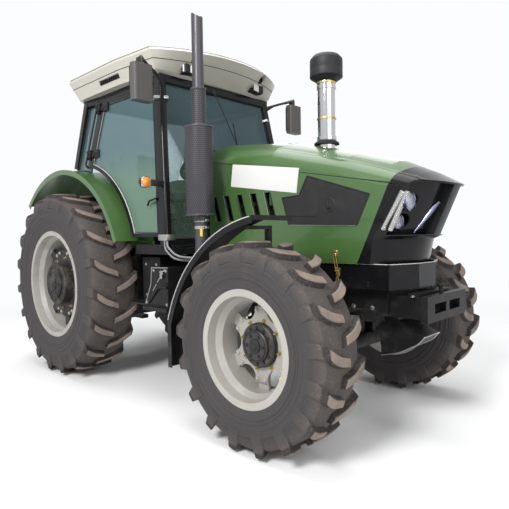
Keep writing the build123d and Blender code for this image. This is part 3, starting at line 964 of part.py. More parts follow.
# ---------------------------------------------------------------- cab inside
def make_seat():
    """Seat: pedestal, pan, arm rests and spine, with the two plain cushions."""
    x, w, d, z = SEAT_X, SEAT_W, SEAT_D, SEAT_Z
    pan_z0, pan_z1 = z - CUSHION_H - PAN_T, z - CUSHION_H
    pedestal = block(x - PEDESTAL_HALF, x + PEDESTAL_HALF, -PEDESTAL_Y, PEDESTAL_Y,
                     CAB_FLOOR_Z + CAB_FLOOR_T, pan_z0 + 2)
    pan = block(x - d / 2, x + d / 2, -w / 2, w / 2, pan_z0, pan_z1)
    rests = []
    for _, side in SIDES:
        rests.append(block(x + REST_X0, x + REST_X1, side * (w / 2 + REST_IN), side * (w / 2 + REST_OUT),
                           z + REST_Z0, z + REST_Z1))
        rests.append(block(x + REST_X0, x + REST_X0 + 50, side * (w / 2 - 40), side * (w / 2 + 40),
                           pan_z0, z + 75))
    lean = Pos(x - d / 2 - BACK_DX, 0, z + BACK_DZ) * Rot(0, BACK_LEAN, 0)
    spine = lean * Pos(-(BACK_T + SPINE_T) / 2 - GAP, 0, -SPINE_DROP) * Box(SPINE_T, w - 140, SPINE_H)
    shelf = block(x - d / 2 - 60, x - d / 2 + FUSE, -w / 2 + 70, w / 2 - 70, pan_z0, pan_z1)
    keep("seat_base", pedestal.fuse(pan, shelf, spine, *rests))
    inner = w / 2 - CUSHION_IN
    cushion = block(x - d / 2 + 20, x + d / 2, -inner, inner, pan_z1 + GAP, z)
    keep("seat_cushions", cushion, lean * Box(BACK_T, w - 100, BACK_H))


def make_steering():
    """Dash console with its column, and the steering wheel on the column's axis."""
    floor = CAB_FLOOR_Z + CAB_FLOOR_T
    outline = ((DASH_X1, floor), (DASH_X1 + 20, DASH_Z1), (DASH_X0 + 20, DASH_Z0), (DASH_X0 + 60, floor))
    console = side_plate(outline, -DASH_HALF_W, DASH_HALF_W)
    tilt = radians(WHEEL_TILT)
    axis, centre = Vector(-sin(tilt), 0, cos(tilt)), Vector(*WHEEL_C)
    column = bar(tuple(centre - axis * COLUMN_L), tuple(centre - axis * (WHEEL_HUB_H + GAP)), COLUMN_R)
    keep("dash_console", console.fuse(column))
    plane = Plane(origin=WHEEL_C, x_dir=(0, 1, 0), z_dir=axis)
    hub_disc = extrude(plane * Circle(WHEEL_HUB_R), amount=WHEEL_HUB_H, both=True)
    spokes = [plane.location * Rot(0, 0, angle) * Pos(WHEEL_R / 2, 0, 0) * Box(WHEEL_R, SPOKE_W, SPOKE_T)
              for angle in WHEEL_SPOKES]
    keep("steering_wheel", (plane.location * Torus(WHEEL_R, WHEEL_RIM_R)).fuse(hub_disc, *spokes))


# ---------------------------------------------------------------- boxes, steps, mirrors
def make_boxes():
    """Tool box and battery case on the right, fuel tank on the left, and the shelves under them."""
    inner = GEARBOX_W / 2 + GAP
    tools = side_plate(TOOL_BOX, -TOOL_BOX_Y0, -TOOL_BOX_Y1)
    keep("battery_box", tools, block(CASE_X0, CASE_X1, -CASE_Y, -CASE_IN_Y, SHELF_Z, CASE_Z1))
    tank = block(TANK_X0, TANK_X1, TANK_Y0, TANK_Y1, TANK_Z0, TANK_Z1)
    keep("fuel_tank", fillet(tank.edges().filter_by(Axis.X), TANK_ROUND))
    shelf_z = SHELF_Z - GAP
    shelf = block(CASE_X0, TOOL_BOX[1][0], -TOOL_BOX_Y1, -inner, shelf_z - SHELF_T, shelf_z)
    tray = block(TANK_X0 + TRAY_IN, TANK_X1 - TRAY_IN, inner - 40, TANK_Y1,
                 TANK_Z0 - TRAY_T - GAP, TANK_Z0 - GAP)
    gear = block(0, ENGINE_X1, -inner, inner, GEARBOX_Z0 - 2 * GAP, GEARBOX_Z1 + GAP)
    bell = bar((ENGINE_X0 - BELL_L, 0, BELL_Z), (ENGINE_X0, 0, BELL_Z), BELL_R + GAP)
    keep("side_frame", *[biggest(without(piece, (gear, bell))) for piece in (shelf, tray)])

    top = shelf_z - SHELF_T - GAP
    ledge = block(LEDGE_X0, LEDGE_X1, -LEDGE_Y0, -LEDGE_Y1, top - LEDGE_T, top)
    treads = [block(STEP_X0, STEP_X1, STEP_Y0, STEP_Y1, z, z + STEP_T) for z in STEP_LEVELS]
    cheeks = [block(x, x + STEP_CHEEK, STEP_Y0 + 60, STEP_Y1, STEP_LEVELS[0], CAB_FLOOR_Z - GAP)
              for x in (STEP_X0, STEP_X1 - STEP_CHEEK)]
    keep("steps", ledge, treads[0].fuse(*treads[1:], *cheeks))


def make_mirrors():
    """Mirrors on bent arms from the tops of the front posts."""
    mirrors = []
    for _, side in SIDES:
        x, y = MIRROR_X, side * MIRROR_Y
        half_t, half_w = MIRROR_T / 2, MIRROR_W / 2
        head = block(x - half_t, x + half_t, y - half_w, y + half_w, MIRROR_Z0, MIRROR_Z1)
        head = fillet(head.edges().filter_by(Axis.Z), MIRROR_ROUND)
        top = (x, y, MIRROR_Z1 + MIRROR_ARM_RISE)
        foot = post_point(CAB_FRONT_LOW, CAB_FRONT_TOP, MIRROR_ARM_Z, side)
        arm = bar(foot, top, MIRROR_ARM_R).fuse(bar(top, (x, y, MIRROR_Z1 - FUSE), MIRROR_ARM_R),
                                                Pos(*top) * Sphere(MIRROR_ARM_R))
        mirrors.append(head.fuse(biggest(arm - NODES["cab_frame"][0])))
    keep("mirrors", *mirrors)


# ---------------------------------------------------------------- rear linkage
def make_lift():
    """Lift cover with its rockshaft stubs and top link ears, and the lift arms."""
    top, pieces = HOUSING_Z1 + GAP, []
    back = HOUSING_X0
    cover = block(back, COVER_X1, -COVER_Y, COVER_Y, top, HOUSING_Z1 + COVER_H)
    tower = block(back, CAB_BACK_X - MOVE, -COVER_Y, COVER_Y, top, HOUSING_Z1 + TOWER_H)
    arms = []
    for _, side in SIDES:
        rock_in, rock_out = side * (COVER_Y - 40), side * (COVER_Y + LIFT_T + 18)
        pieces.append(cross_bar(ROCK_X, rock_in, rock_out, ROCK_Z, ROCK_R))
        ear_y, ear_x = side * (TOP_EAR_Y + TOP_EAR_T / 2), back - TOP_EAR_L / 2
        ear = block(back - TOP_EAR_L, back + FUSE, side * TOP_EAR_Y, side * (TOP_EAR_Y + TOP_EAR_T),
                    ROCK_Z - TOP_EAR_H / 2, ROCK_Z + TOP_EAR_H / 2)
        pieces.append(ear - cross_bar(ear_x, ear_y - 20, ear_y + 20, ROCK_Z, TOP_EAR_BORE))
        y0, y1 = side * (COVER_Y + LIFT_SIDE), side * (COVER_Y + LIFT_SIDE + LIFT_T)
        boss = cross_bar(ROCK_X, y0, y1, ROCK_Z, ROCK_R + LIFT_BOSS)
        arm = block(ROCK_X - LIFT_L, ROCK_X, y0, y1, ROCK_Z - LIFT_H / 2, ROCK_Z + LIFT_H / 2)
        eye = cross_bar(ROCK_X - LIFT_L, y0, y1, ROCK_Z, LIFT_H / 2)
        bore = cross_bar(ROCK_X, side * (COVER_Y - 60), side * (COVER_Y + 60), ROCK_Z, ROCK_R + PIN_PLAY)
        arms.append(boss.fuse(arm, eye) - bore)
    keep("lift_housing", cover.fuse(tower, *pieces))
    keep("lift_arms", *arms)


def make_links():
    """Lower links with their balls, the lift rods on them, and the drawbar."""
    links, rods = [], []
    for _, side in SIDES:
        a = Vector(LINK_X, side * LINK_FRONT_Y, LINK_Z)
        b = Vector(LINK_X - sqrt(LINK_L ** 2 - LINK_DROP ** 2), side * LINK_REAR_Y, LINK_Z - LINK_DROP)
        m = a + (b - a) * ROD_AT

        def eye(p, width, radius):
            """Round bar along Y, centred on a point."""
            return cross_bar(p.X, p.Y - width / 2, p.Y + width / 2, p.Z, radius)

        link = beam(a, b, LINK_H, LINK_T, x_dir=(0, 0, 1))
        link = link.fuse(eye(a, LINK_EYE_W, LINK_H / 2 + 4), eye(b, BALL_W, BALL_R))
        link = link - eye(a, 3 * LINK_EYE_W, LINK_PIN_R + PIN_PLAY) - eye(b, 3 * BALL_W, BALL_BORE_R)
        # pin that carries the lift rod's lower eye, on the outside of the link
        links.append(link.fuse(bar(m, m + Vector(0, side * (LINK_T / 2 + ROD_SIDE + 14), 0), LINK_PIN_R)))
        low_y = m.Y + side * (LINK_T / 2 + ROD_SIDE)
        foot, top_eye = Vector(m.X, low_y, m.Z), Vector(ROCK_X - LIFT_L, low_y, ROCK_Z)
        rod = bar(foot, top_eye, LIFT_ROD_R).fuse(*[eye(p, ROD_EYE_W, ROD_EYE_R) for p in (foot, top_eye)])
        rods.append(rod - eye(foot, 80, LINK_PIN_R + PIN_PLAY) - eye(top_eye, 80, LINK_PIN_R))
    keep("lower_links", *links)
    keep("lift_rods", *rods)

    z0, z1 = DRAWBAR_Z - DRAWBAR_T / 2, DRAWBAR_Z + DRAWBAR_T / 2
    tongue = block(DRAWBAR_X, DRAWBAR_X1, -DRAWBAR_W / 2, DRAWBAR_W / 2, z0, z1)
    tongue = tongue - upright(DRAWBAR_X + DRAWBAR_PIN_IN, 0, z0 - 40, z1 + 40, DRAWBAR_BORE_R)
    x0, x1 = HOUSING_X0 + DRAWBAR_HANGER_X0, HOUSING_X0 + DRAWBAR_HANGER_X1
    cradle = block(x0 - 40, x1 + 40, -CRADLE_Y, CRADLE_Y, z0 - CRADLE_T, z0)
    hangers = [block(x0, x1, side * (DRAWBAR_W / 2 - 2), side * (CRADLE_Y - 4), z0 - 10, HOUSING_Z0 - GAP)
               for _, side in SIDES]
    keep("drawbar", tongue.fuse(cradle, *hangers))


def export_all():
    """Write each node to its own STEP file, with the origin under the machine's middle."""
    os.makedirs("parts", exist_ok=True)
    whole = Compound([s for solids in NODES.values() for s in solids]).bounding_box()
    shift = Location((-(whole.min.X + whole.max.X) / 2, 0, -whole.min.Z))
    for name, solids in NODES.items():
        export_step(Compound([s.moved(shift) for s in solids]), f"parts/{name}.step")
    print("moved by", shift.position, "size", whole.size)


for make in (make_wheels, make_front_axle, make_front_frame, make_driveline, make_exhaust, make_cab,
             make_doors, make_roof, make_seat, make_steering, make_boxes, make_mirrors, make_lift,
             make_links, make_band, make_bonnet, make_intake):
    make()
export_all()
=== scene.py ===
"""Farm tractor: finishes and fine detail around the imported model.

Lengths are metres. Positions are given in the machine's own axes, with X forward
from the rear axle, Y to the left and Z up from the ground, and Form.piece moves
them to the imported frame.
"""

from __future__ import annotations

import json
import logging
from dataclasses import dataclass, field
from enum import Enum
from math import asin, cos, exp, hypot, pi, radians, sin
from typing import Any, Iterable, Sequence

import bmesh
import bpy
from bpy.types import Material, Mesh, Node, NodeSocket, NodeTree, Object
from mathutils import Matrix, Vector

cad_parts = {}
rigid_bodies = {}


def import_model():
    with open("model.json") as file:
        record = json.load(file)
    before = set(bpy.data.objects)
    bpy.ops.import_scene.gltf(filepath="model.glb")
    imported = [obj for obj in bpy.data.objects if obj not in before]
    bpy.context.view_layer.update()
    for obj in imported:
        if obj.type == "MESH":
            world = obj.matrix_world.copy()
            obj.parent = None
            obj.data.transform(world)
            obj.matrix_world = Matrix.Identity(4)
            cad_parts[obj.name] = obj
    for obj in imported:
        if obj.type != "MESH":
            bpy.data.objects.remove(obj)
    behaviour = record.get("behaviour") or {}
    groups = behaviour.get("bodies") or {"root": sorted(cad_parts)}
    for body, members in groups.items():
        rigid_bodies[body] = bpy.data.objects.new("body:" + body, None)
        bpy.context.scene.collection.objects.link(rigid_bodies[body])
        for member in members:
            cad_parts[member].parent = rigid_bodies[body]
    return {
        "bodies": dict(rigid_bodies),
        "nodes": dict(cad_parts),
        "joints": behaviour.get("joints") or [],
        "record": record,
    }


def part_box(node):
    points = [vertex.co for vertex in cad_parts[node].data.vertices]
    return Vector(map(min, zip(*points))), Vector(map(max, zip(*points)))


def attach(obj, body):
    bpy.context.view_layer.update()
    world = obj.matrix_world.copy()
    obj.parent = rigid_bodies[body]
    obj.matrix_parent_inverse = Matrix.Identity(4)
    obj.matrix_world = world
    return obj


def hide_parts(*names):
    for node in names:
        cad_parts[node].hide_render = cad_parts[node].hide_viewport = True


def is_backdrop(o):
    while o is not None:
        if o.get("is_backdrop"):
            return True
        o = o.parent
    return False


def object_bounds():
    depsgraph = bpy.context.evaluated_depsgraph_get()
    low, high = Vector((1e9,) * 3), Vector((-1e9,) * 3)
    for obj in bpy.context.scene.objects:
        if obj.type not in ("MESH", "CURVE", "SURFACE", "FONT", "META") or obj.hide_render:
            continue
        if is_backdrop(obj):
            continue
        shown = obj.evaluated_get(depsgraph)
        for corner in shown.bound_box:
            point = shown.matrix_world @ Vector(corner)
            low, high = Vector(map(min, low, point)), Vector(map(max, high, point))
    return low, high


log = logging.getLogger("tractor")
Point = Sequence[float]
SIDES = ((-1, "right"), (1, "left"))
UP = (0, 0, 1)


@dataclass(frozen=True)
class Wheel:
    """Sizes of the front or rear wheels, with Y measured from the machine's middle."""

    place: str
    x: float
    y: float
    radius: float
    width: float
    rim_radius: float
    rim_width: float
    tyre_lugs: int
    disc_y: float
    stud_radius: float
    drum_radius: float
    drum_y: float
    nose_radius: float
    nose_y: float
    lug_radius: float
    rim_lugs: int
    first_lug: float
    valve_radius: float

    def at(self, across: float) -> tuple[float, float, float]:
        """Return the point of the wheel's axis at a distance across the machine."""
        return (self.x, across, self.radius)


FRONT = Wheel("front", x=2.668, y=0.877, radius=0.648, width=0.378, rim_radius=0.3302, rim_width=0.330,
              tyre_lugs=17, disc_y=0.8762, stud_radius=0.156, drum_radius=0.128, drum_y=0.9142,
              nose_radius=0.0986, nose_y=0.9362, lug_radius=0.216, rim_lugs=6, first_lug=0.0,
              valve_radius=0.292)
REAR = Wheel("rear", x=0.0, y=0.803, radius=0.875, width=0.467, rim_radius=0.4826, rim_width=0.406,
             tyre_lugs=19, disc_y=0.8862, stud_radius=0.255, drum_radius=0.196, drum_y=0.9782,
             nose_radius=0.1476, nose_y=1.0002, lug_radius=0.305, rim_lugs=8, first_lug=pi / 8,
             valve_radius=0.440)


# ---- shader maths
def feed(socket: NodeSocket, value: Any) -> None:
    """Link a wire or another socket to a socket, or set its value."""
    source = value.socket if isinstance(value, Wire) else value
    if isinstance(source, NodeSocket):
        socket.id_data.links.new(source, socket)
    else:
        socket.default_value = source


class Wire:
    """A shader socket that takes part in arithmetic, adding a Math node for each step."""

    def __init__(self, tree: NodeTree, socket: NodeSocket) -> None:
        """Keep the node tree and the output socket."""
        self.tree = tree
        self.socket = socket

    def _math(self, operation: str, *values: Any, clamp: bool = False) -> "Wire":
        """Add one Math node.

        Args:
            operation: The Math node's operation.
            values: Wires or numbers for its inputs, in order.
            clamp: Whether the result is kept from 0 to 1.

        Returns:
            The node's result.
        """
        node = self.tree.nodes.new("ShaderNodeMath")
        node.operation = operation
        node.use_clamp = clamp
        for socket, value in zip(node.inputs, values):
            feed(socket, value)
        return Wire(self.tree, node.outputs[0])

    def __add__(self, other: Any) -> "Wire":
        """Return self + other."""
        return self._math("ADD", self, other)

    def __radd__(self, other: Any) -> "Wire":
        """Return other + self."""
        return self._math("ADD", other, self)

    def __sub__(self, other: Any) -> "Wire":
        """Return self - other."""
        return self._math("SUBTRACT", self, other)

    def __rsub__(self, other: Any) -> "Wire":
        """Return other - self."""
        return self._math("SUBTRACT", other, self)

    def __mul__(self, other: Any) -> "Wire":
        """Return self * other."""
        return self._math("MULTIPLY", self, other)

    def __rmul__(self, other: Any) -> "Wire":
        """Return other * self."""
        return self._math("MULTIPLY", other, self)

    def __truediv__(self, other: Any) -> "Wire":
        """Return self / other."""
        return self._math("DIVIDE", self, other)

    def __pow__(self, other: Any) -> "Wire":
        """Return self ** other."""
        return self._math("POWER", self, other)

    def __gt__(self, other: Any) -> "Wire":
        """Return 1 where self > other, else 0."""
        return self._math("GREATER_THAN", self, other)

    def __lt__(self, other: Any) -> "Wire":
        """Return 1 where self < other, else 0."""
        return self._math("LESS_THAN", self, other)

    def sin(self) -> "Wire":
        """Return the sine of an angle in radians."""
        return self._math("SINE", self)

    def fract(self) -> "Wire":
        """Return the part after the decimal point."""
        return self._math("FRACT", self)

    def step(self, operation: str, *others: Any) -> "Wire":
        """Return the result of another Math operation on self and others."""
        return self._math(operation, self, *others)

    def clamp(self) -> "Wire":
        """Return self kept from 0 to 1."""
        return self._math("ADD", self, 0.0, clamp=True)

    def band(self, low: float, high: float) -> "Wire":
        """Return an eased share that rises from 0 at low to 1 at high."""
        share = self._math("DIVIDE", self - low, high - low, clamp=True)
        return share * share * (3.0 - 2.0 * share)


class Shader:
    """Builds one node material."""

    def __init__(self, name: str) -> None:
        """Start an empty material with this name."""
        self.material = bpy.data.materials.new(f"finish_{name}")
        self.material.use_nodes = True
        self.tree = self.material.node_tree
        self.tree.nodes.clear()
        self.place = self.add("ShaderNodeTexCoord", output="Object")

    def add(self, kind: str, settings: dict[str, Any] | None = None,
            inputs: dict[Any, Any] | None = None, output: Any = 0) -> Wire | None:
        """Add a node of any type.

        Args:
            kind: The node's type.
            settings: Its properties, set before its sockets.
            inputs: Values or wires by socket name or number.
            output: Name or number of the output that is returned.

        Returns:
            That output, or None for an end node.
        """
        node = self.tree.nodes.new(kind)
        for key, value in (settings or {}).items():
            setattr(node, key, value)
        for key, value in (inputs or {}).items():
            feed(node.inputs[key], value)
        return Wire(self.tree, node.outputs[output]) if node.outputs else None

    def axis(self, letter: str) -> Wire:
        """Return one coordinate of the object's place, X, Y or Z."""
        return self.add("ShaderNodeSeparateXYZ", inputs={0: self.place}, output=letter)

    def noise(self, scale: float, detail: float = 3.0, rough: float = 0.5) -> Wire:
        """Return a noise from 0 to 1, by its cycles a metre, octaves and the share that each octave keeps."""
        values = {"Vector": self.place, "Scale": scale, "Detail": detail, "Roughness": rough}
        return self.add("ShaderNodeTexNoise", inputs=values)

    def mix(self, share: Any, one: Any, two: Any) -> Wire:
        """Blend two colours, where a share of 0 gives one and 1 gives two."""
        return self.add("ShaderNodeMix", {"data_type": "RGBA"}, {0: share, 6: rgb(one), 7: rgb(two)}, 2)

    def attribute(self, name: str) -> Wire:
        """Return a number that the mesh carries."""
        return self.add("ShaderNodeAttribute", {"attribute_name": name}, output="Fac")

    def bump(self, height: Wire, distance: float) -> Wire:
        """Return the normal of a height from 0 to 1, with the metres between the two."""
        return self.add("ShaderNodeBump", inputs={"Height": height, "Distance": distance, "Strength": 1.0})

    def surface(self, **inputs: Any) -> Material:
        """End the material with one Principled shader and return it."""
        return self.end(self.principled(**inputs))

    def principled(self, **inputs: Any) -> Wire:
        """Return a Principled shader with these sockets, spaces as underscores."""
        sockets = {name.replace("_", " "): value for name, value in inputs.items()}
        return self.add("ShaderNodeBsdfPrincipled", inputs=sockets)

    def end(self, shader: Wire) -> Material:
        """Link a shader to the output and return the material."""
        self.add("ShaderNodeOutputMaterial", inputs={"Surface": shader})
        return self.material


def rgb(colour: Any) -> Any:
    """Return a colour with full alpha, or a wire as it is."""
    return colour if isinstance(colour, Wire) else (*colour, 1.0)


# ---- finishes
@dataclass(frozen=True)
class Paint:
    """Sprayed enamel with a clear coat, faint mottling and dust that gathers low down."""

    name: str
    colour: Point
    rough: float = 0.28
    coat: float = 0.8
    dust: float = 0.12
    dust_top: float = 1.2
    dust_colour: Point = (0.22, 0.19, 0.15)
    shine: float = 0.5

    def build(self) -> Material:
        """Return the material."""
        s = Shader(self.name)
        cloud = s.noise(1.6, 4.0)
        fine = s.noise(9.0, 6.0, 0.65)
        low = 1.0 - s.axis("Z").band(0.2, self.dust_top)
        dirt = (low * self.dust * 2.0 + self.dust * 0.6) * fine.band(0.42, 0.74)
        deep = tuple(c * 0.9 for c in self.colour)
        base = s.mix(cloud, deep, tuple(c * 1.1 for c in self.colour))
        base = s.mix(dirt.clamp(), base, self.dust_colour)
        orange_peel = s.bump(s.noise(180.0, 1.0), 0.00012)
        return s.surface(Base_Color=base, Roughness=self.rough + dirt * 0.5, Normal=orange_peel,
                         Coat_Weight=self.coat * (1.0 - dirt), Coat_Roughness=0.06,
                         Specular_IOR_Level=self.shine)


@dataclass(frozen=True)
class Moulded:
    """Moulded plastic or rubber with a fine grain."""

    name: str
    colour: Point
    rough: float = 0.5
    grain: float = 900.0
    depth: float = 0.0002
    dust: float = 0.15

    def build(self) -> Material:
        """Return the material."""
        s = Shader(self.name)
        grain = s.noise(self.grain, 2.0)
        wear = s.noise(14.0, 5.0, 0.6).band(0.45, 0.8) * self.dust
        base = s.mix(wear, self.colour, tuple(c * 1.4 + 0.05 for c in self.colour))
        return s.surface(Base_Color=base, Roughness=self.rough + wear * 0.4, Specular_IOR_Level=0.28,
                         Normal=s.bump(grain, self.depth))


@dataclass(frozen=True)
class Metal:
    """Bare or plated metal with smudges."""

    name: str
    colour: Point
    rough: float = 0.12
    smudge: float = 0.1

    def build(self) -> Material:
        """Return the material."""
        s = Shader(self.name)
        smudge = s.noise(22.0, 5.0, 0.6).band(0.4, 0.8)
        base = s.mix(smudge * 0.25, self.colour, tuple(c * 0.7 for c in self.colour))
        return s.surface(Base_Color=base, Metallic=1.0, Roughness=self.rough + smudge * self.smudge,
                         Normal=s.bump(s.noise(300.0, 2.0), 0.00003))


@dataclass(frozen=True)
class Casting:
    """Painted cast iron with a sandy skin, oil and dust."""

    name: str
    colour: Point
    rough: float = 0.55
    dust_colour: Point = (0.20, 0.17, 0.14)
    dust: float = 0.45

    def build(self) -> Material:
        """Return the material."""
        s = Shader(self.name)
        sand = s.noise(420.0, 3.0, 0.6)
        dirt = s.noise(7.0, 6.0, 0.7).band(0.46, 0.78) * self.dust
        base = s.mix(dirt, self.colour, self.dust_colour)
        return s.surface(Base_Color=base, Roughness=self.rough + dirt * 0.3, Specular_IOR_Level=0.28,
                         Normal=s.bump(sand + s.noise(40.0, 3.0), 0.0006))


@dataclass(frozen=True)
class TyreRubber:
    """Tyre rubber: dark on the side walls, dust on the lugs and in the grooves, and painted shade on the
    lugs' lower flanks.
    """

    name: str
    wall: Point = (0.048, 0.044, 0.045)
    groove: Point = (0.085, 0.073, 0.067)
    # colour of the painted shade on the lugs' lower flanks
    shaded_flank: Point = (0.036, 0.032, 0.031)
    lug: Point = (0.250, 0.200, 0.165)

    def build(self) -> Material:
        """Return the material."""
        s = Shader(self.name)
        dusty = s.attribute("dusty")
        cloud = s.noise(5.0, 6.0, 0.65)
        fine = s.noise(60.0, 4.0, 0.6)
        ground = dusty.band(0.0, 0.5)
        top = dusty.band(0.93, 1.0)
        base = s.mix(ground * 0.8 + cloud.band(0.5, 0.8) * 0.12, self.wall, self.groove)
        # Painted shade: the lower flanks of the lugs are made darker than the rubber to stand for the shadow
        # down their sides.
        base = s.mix(dusty.band(0.54, 0.62), base, self.shaded_flank)
        base = s.mix((top * (cloud.band(0.3, 0.65) * 0.4 + 0.6)).clamp(), base, self.lug)
        base = s.mix(fine.band(0.5, 0.8) * (ground * 0.22 + 0.05), base, (0.27, 0.235, 0.20))
        return s.surface(Base_Color=base, Roughness=0.66 + ground * 0.2, Specular_IOR_Level=0.22,
                         Normal=s.bump(fine * (ground + 0.15) + s.noise(15.0, 3.0) * ground * 1.6, 0.0016))


@dataclass(frozen=True)
class HubPaintAndDiscShade:
    """Pale ring with a dark middle inside a radius: pale enamel disc and black cast-iron drum on the front
    hubs, and on the rear rims a dark disc that is painted shade.
    """

    name: str
    wheel: Wheel
    # radius of the dark middle; on the rear rims it is the edge of the painted shade
    drum: float = 0.139
    pale: Point = (0.33, 0.31, 0.28)
    dark: Point = (0.018, 0.017, 0.017)

    def build(self) -> Material:
        """Return the material."""
        s = Shader(self.name)
        x = s.axis("X") - (self.wheel.x + Form.origin.x)
        z = s.axis("Z") - self.wheel.radius
        disc = ((x * x + z * z) ** 0.5).band(self.drum, self.drum + 0.002)
        dirt = s.noise(9.0, 6.0, 0.65).band(0.45, 0.75)
        # Dark inside the radius: the black drum on the front hubs, painted shade on the rear rims' discs.
        base = s.mix(disc, self.dark, self.pale)
        base = s.mix(dirt * 0.35, base, (0.16, 0.14, 0.12))
        grain = s.bump(s.noise(300.0, 3.0), 0.0003)
        return s.surface(Base_Color=base, Roughness=0.45 + dirt * 0.2, Normal=grain)


@dataclass(frozen=True)
class Perforated:
    """Dark steel guard with rows of staggered holes round an upright axis; the holes are painted, near-black
    as painted shade for the dark seen through them.
    """

    name: str
    colour: Point
    axis_at: Point = (1.800, -0.620)
    pitch: float = 0.0175
    hole: float = 0.36
    plain_from: float = 2.455
    holed_from: float = 1.49

    def build(self) -> Material:
        """Return the material."""
        s = Shader(self.name)
        x = s.axis("X") - (self.axis_at[0] + Form.origin.x)
        y = s.axis("Y") - self.axis_at[1]
        height = s.axis("Z")
        angle = y.step("ARCTAN2", x)
        radius = (x * x + y * y) ** 0.5
        wide = (radius > 0.08) * 0.052 + 0.058
        across = angle * wide / self.pitch
        row = height / (self.pitch * 0.86)
        odd = row.step("FLOOR").step("MODULO", 2.0)
        u = (across + odd * 0.5 + 40.0).fract() - 0.5
        v = row.fract() - 0.5
        ring = (u * u + v * v) ** 0.5
        side = (radius > 0.054) * (height > self.holed_from) * (height < self.plain_from)
        hole = (1.0 - ring.band(self.hole - 0.06, self.hole + 0.05)) * side
        wear = s.noise(7.0, 5.0, 0.6).band(0.4, 0.8)
        base = s.mix(wear * 0.35, self.colour, tuple(c * 1.7 for c in self.colour))
        # Painted shade: each painted hole is made near-black to stand for the dark seen through it.
        base = s.mix(hole, base, (0.002, 0.002, 0.002))
        return s.surface(Base_Color=base, Roughness=0.36 + wear * 0.2 + hole * 0.3,
                         Metallic=(1.0 - hole) * 0.35, Normal=s.bump(1.0 - hole, 0.0016))


@dataclass(frozen=True)
class CabGlass:
    """Tinted safety glass: mostly clear, with a glossy face, and greener and glossier low down, a painted
    image of the green fenders seen through it.
    """

    name: str
    tint: Point = (0.885, 0.945, 0.955)
    body: Point = (0.11, 0.17, 0.19)
    painted_fender_green: Point = (0.20, 0.30, 0.22)
    haze: float = 0.05

    def build(self) -> Material:
        """Return the material."""
        s = Shader(self.name)
        facing = s.add("ShaderNodeFresnel", inputs={"IOR": 1.5})
        dust = s.noise(6.0, 5.0, 0.6).band(0.5, 0.85) * 0.06
        clear = s.add("ShaderNodeBsdfTransparent", inputs={"Color": rgb(self.tint)})
        # Painted image of the green fenders seen through the glass: below about 2 m the glossy share rises
        # and turns green.
        low = 1.0 - s.axis("Z").band(1.75, 2.15)
        body = s.mix(low, self.body, self.painted_fender_green)
        gloss = s.principled(Base_Color=body, Roughness=0.03 + dust, Coat_Weight=1.0, Coat_Roughness=0.02)
        share = (facing * 0.8 + self.haze + dust + low * 0.10).clamp()
        return s.end(s.add("ShaderNodeMixShader", inputs={0: share, 1: clear, 2: gloss}))


@dataclass(frozen=True)
class Lens:
    """Clear or coloured lamp lens with fine ribs."""

    name: str
    colour: Point
    clear: float = 0.35

    def build(self) -> Material:
        """Return the material."""
        s = Shader(self.name)
        ribs = (s.axis("Y") * 900.0).sin() * 0.5 + 0.5
        base = s.mix(ribs * 0.2, self.colour, tuple(c * 0.8 for c in self.colour))
        clear = s.add("ShaderNodeBsdfTransparent", inputs={"Color": rgb(self.colour)})
        gloss = s.principled(Base_Color=base, Roughness=0.05, Coat_Weight=1.0, Normal=s.bump(ribs, 0.0004))
        return s.end(s.add("ShaderNodeMixShader", inputs={0: 1.0 - self.clear, 1: clear, 2: gloss}))


@dataclass(frozen=True)
class Woven:
    """Woven seat cloth."""

    name: str
    colour: Point

    def build(self) -> Material:
        """Return the material."""
        s = Shader(self.name)
        across = (s.axis("Y") * 2600.0).sin()
        along = ((s.axis("X") + s.axis("Z")) * 2600.0).sin()
        weave = across * along * 0.5 + 0.5
        fleck = s.noise(60.0, 3.0).band(0.45, 0.7)
        base = s.mix(weave * 0.4 + fleck * 0.3, self.colour, tuple(c * 1.9 + 0.01 for c in self.colour))
        return s.surface(Base_Color=base, Roughness=0.85, Sheen_Weight=0.3, Normal=s.bump(weave, 0.0006))


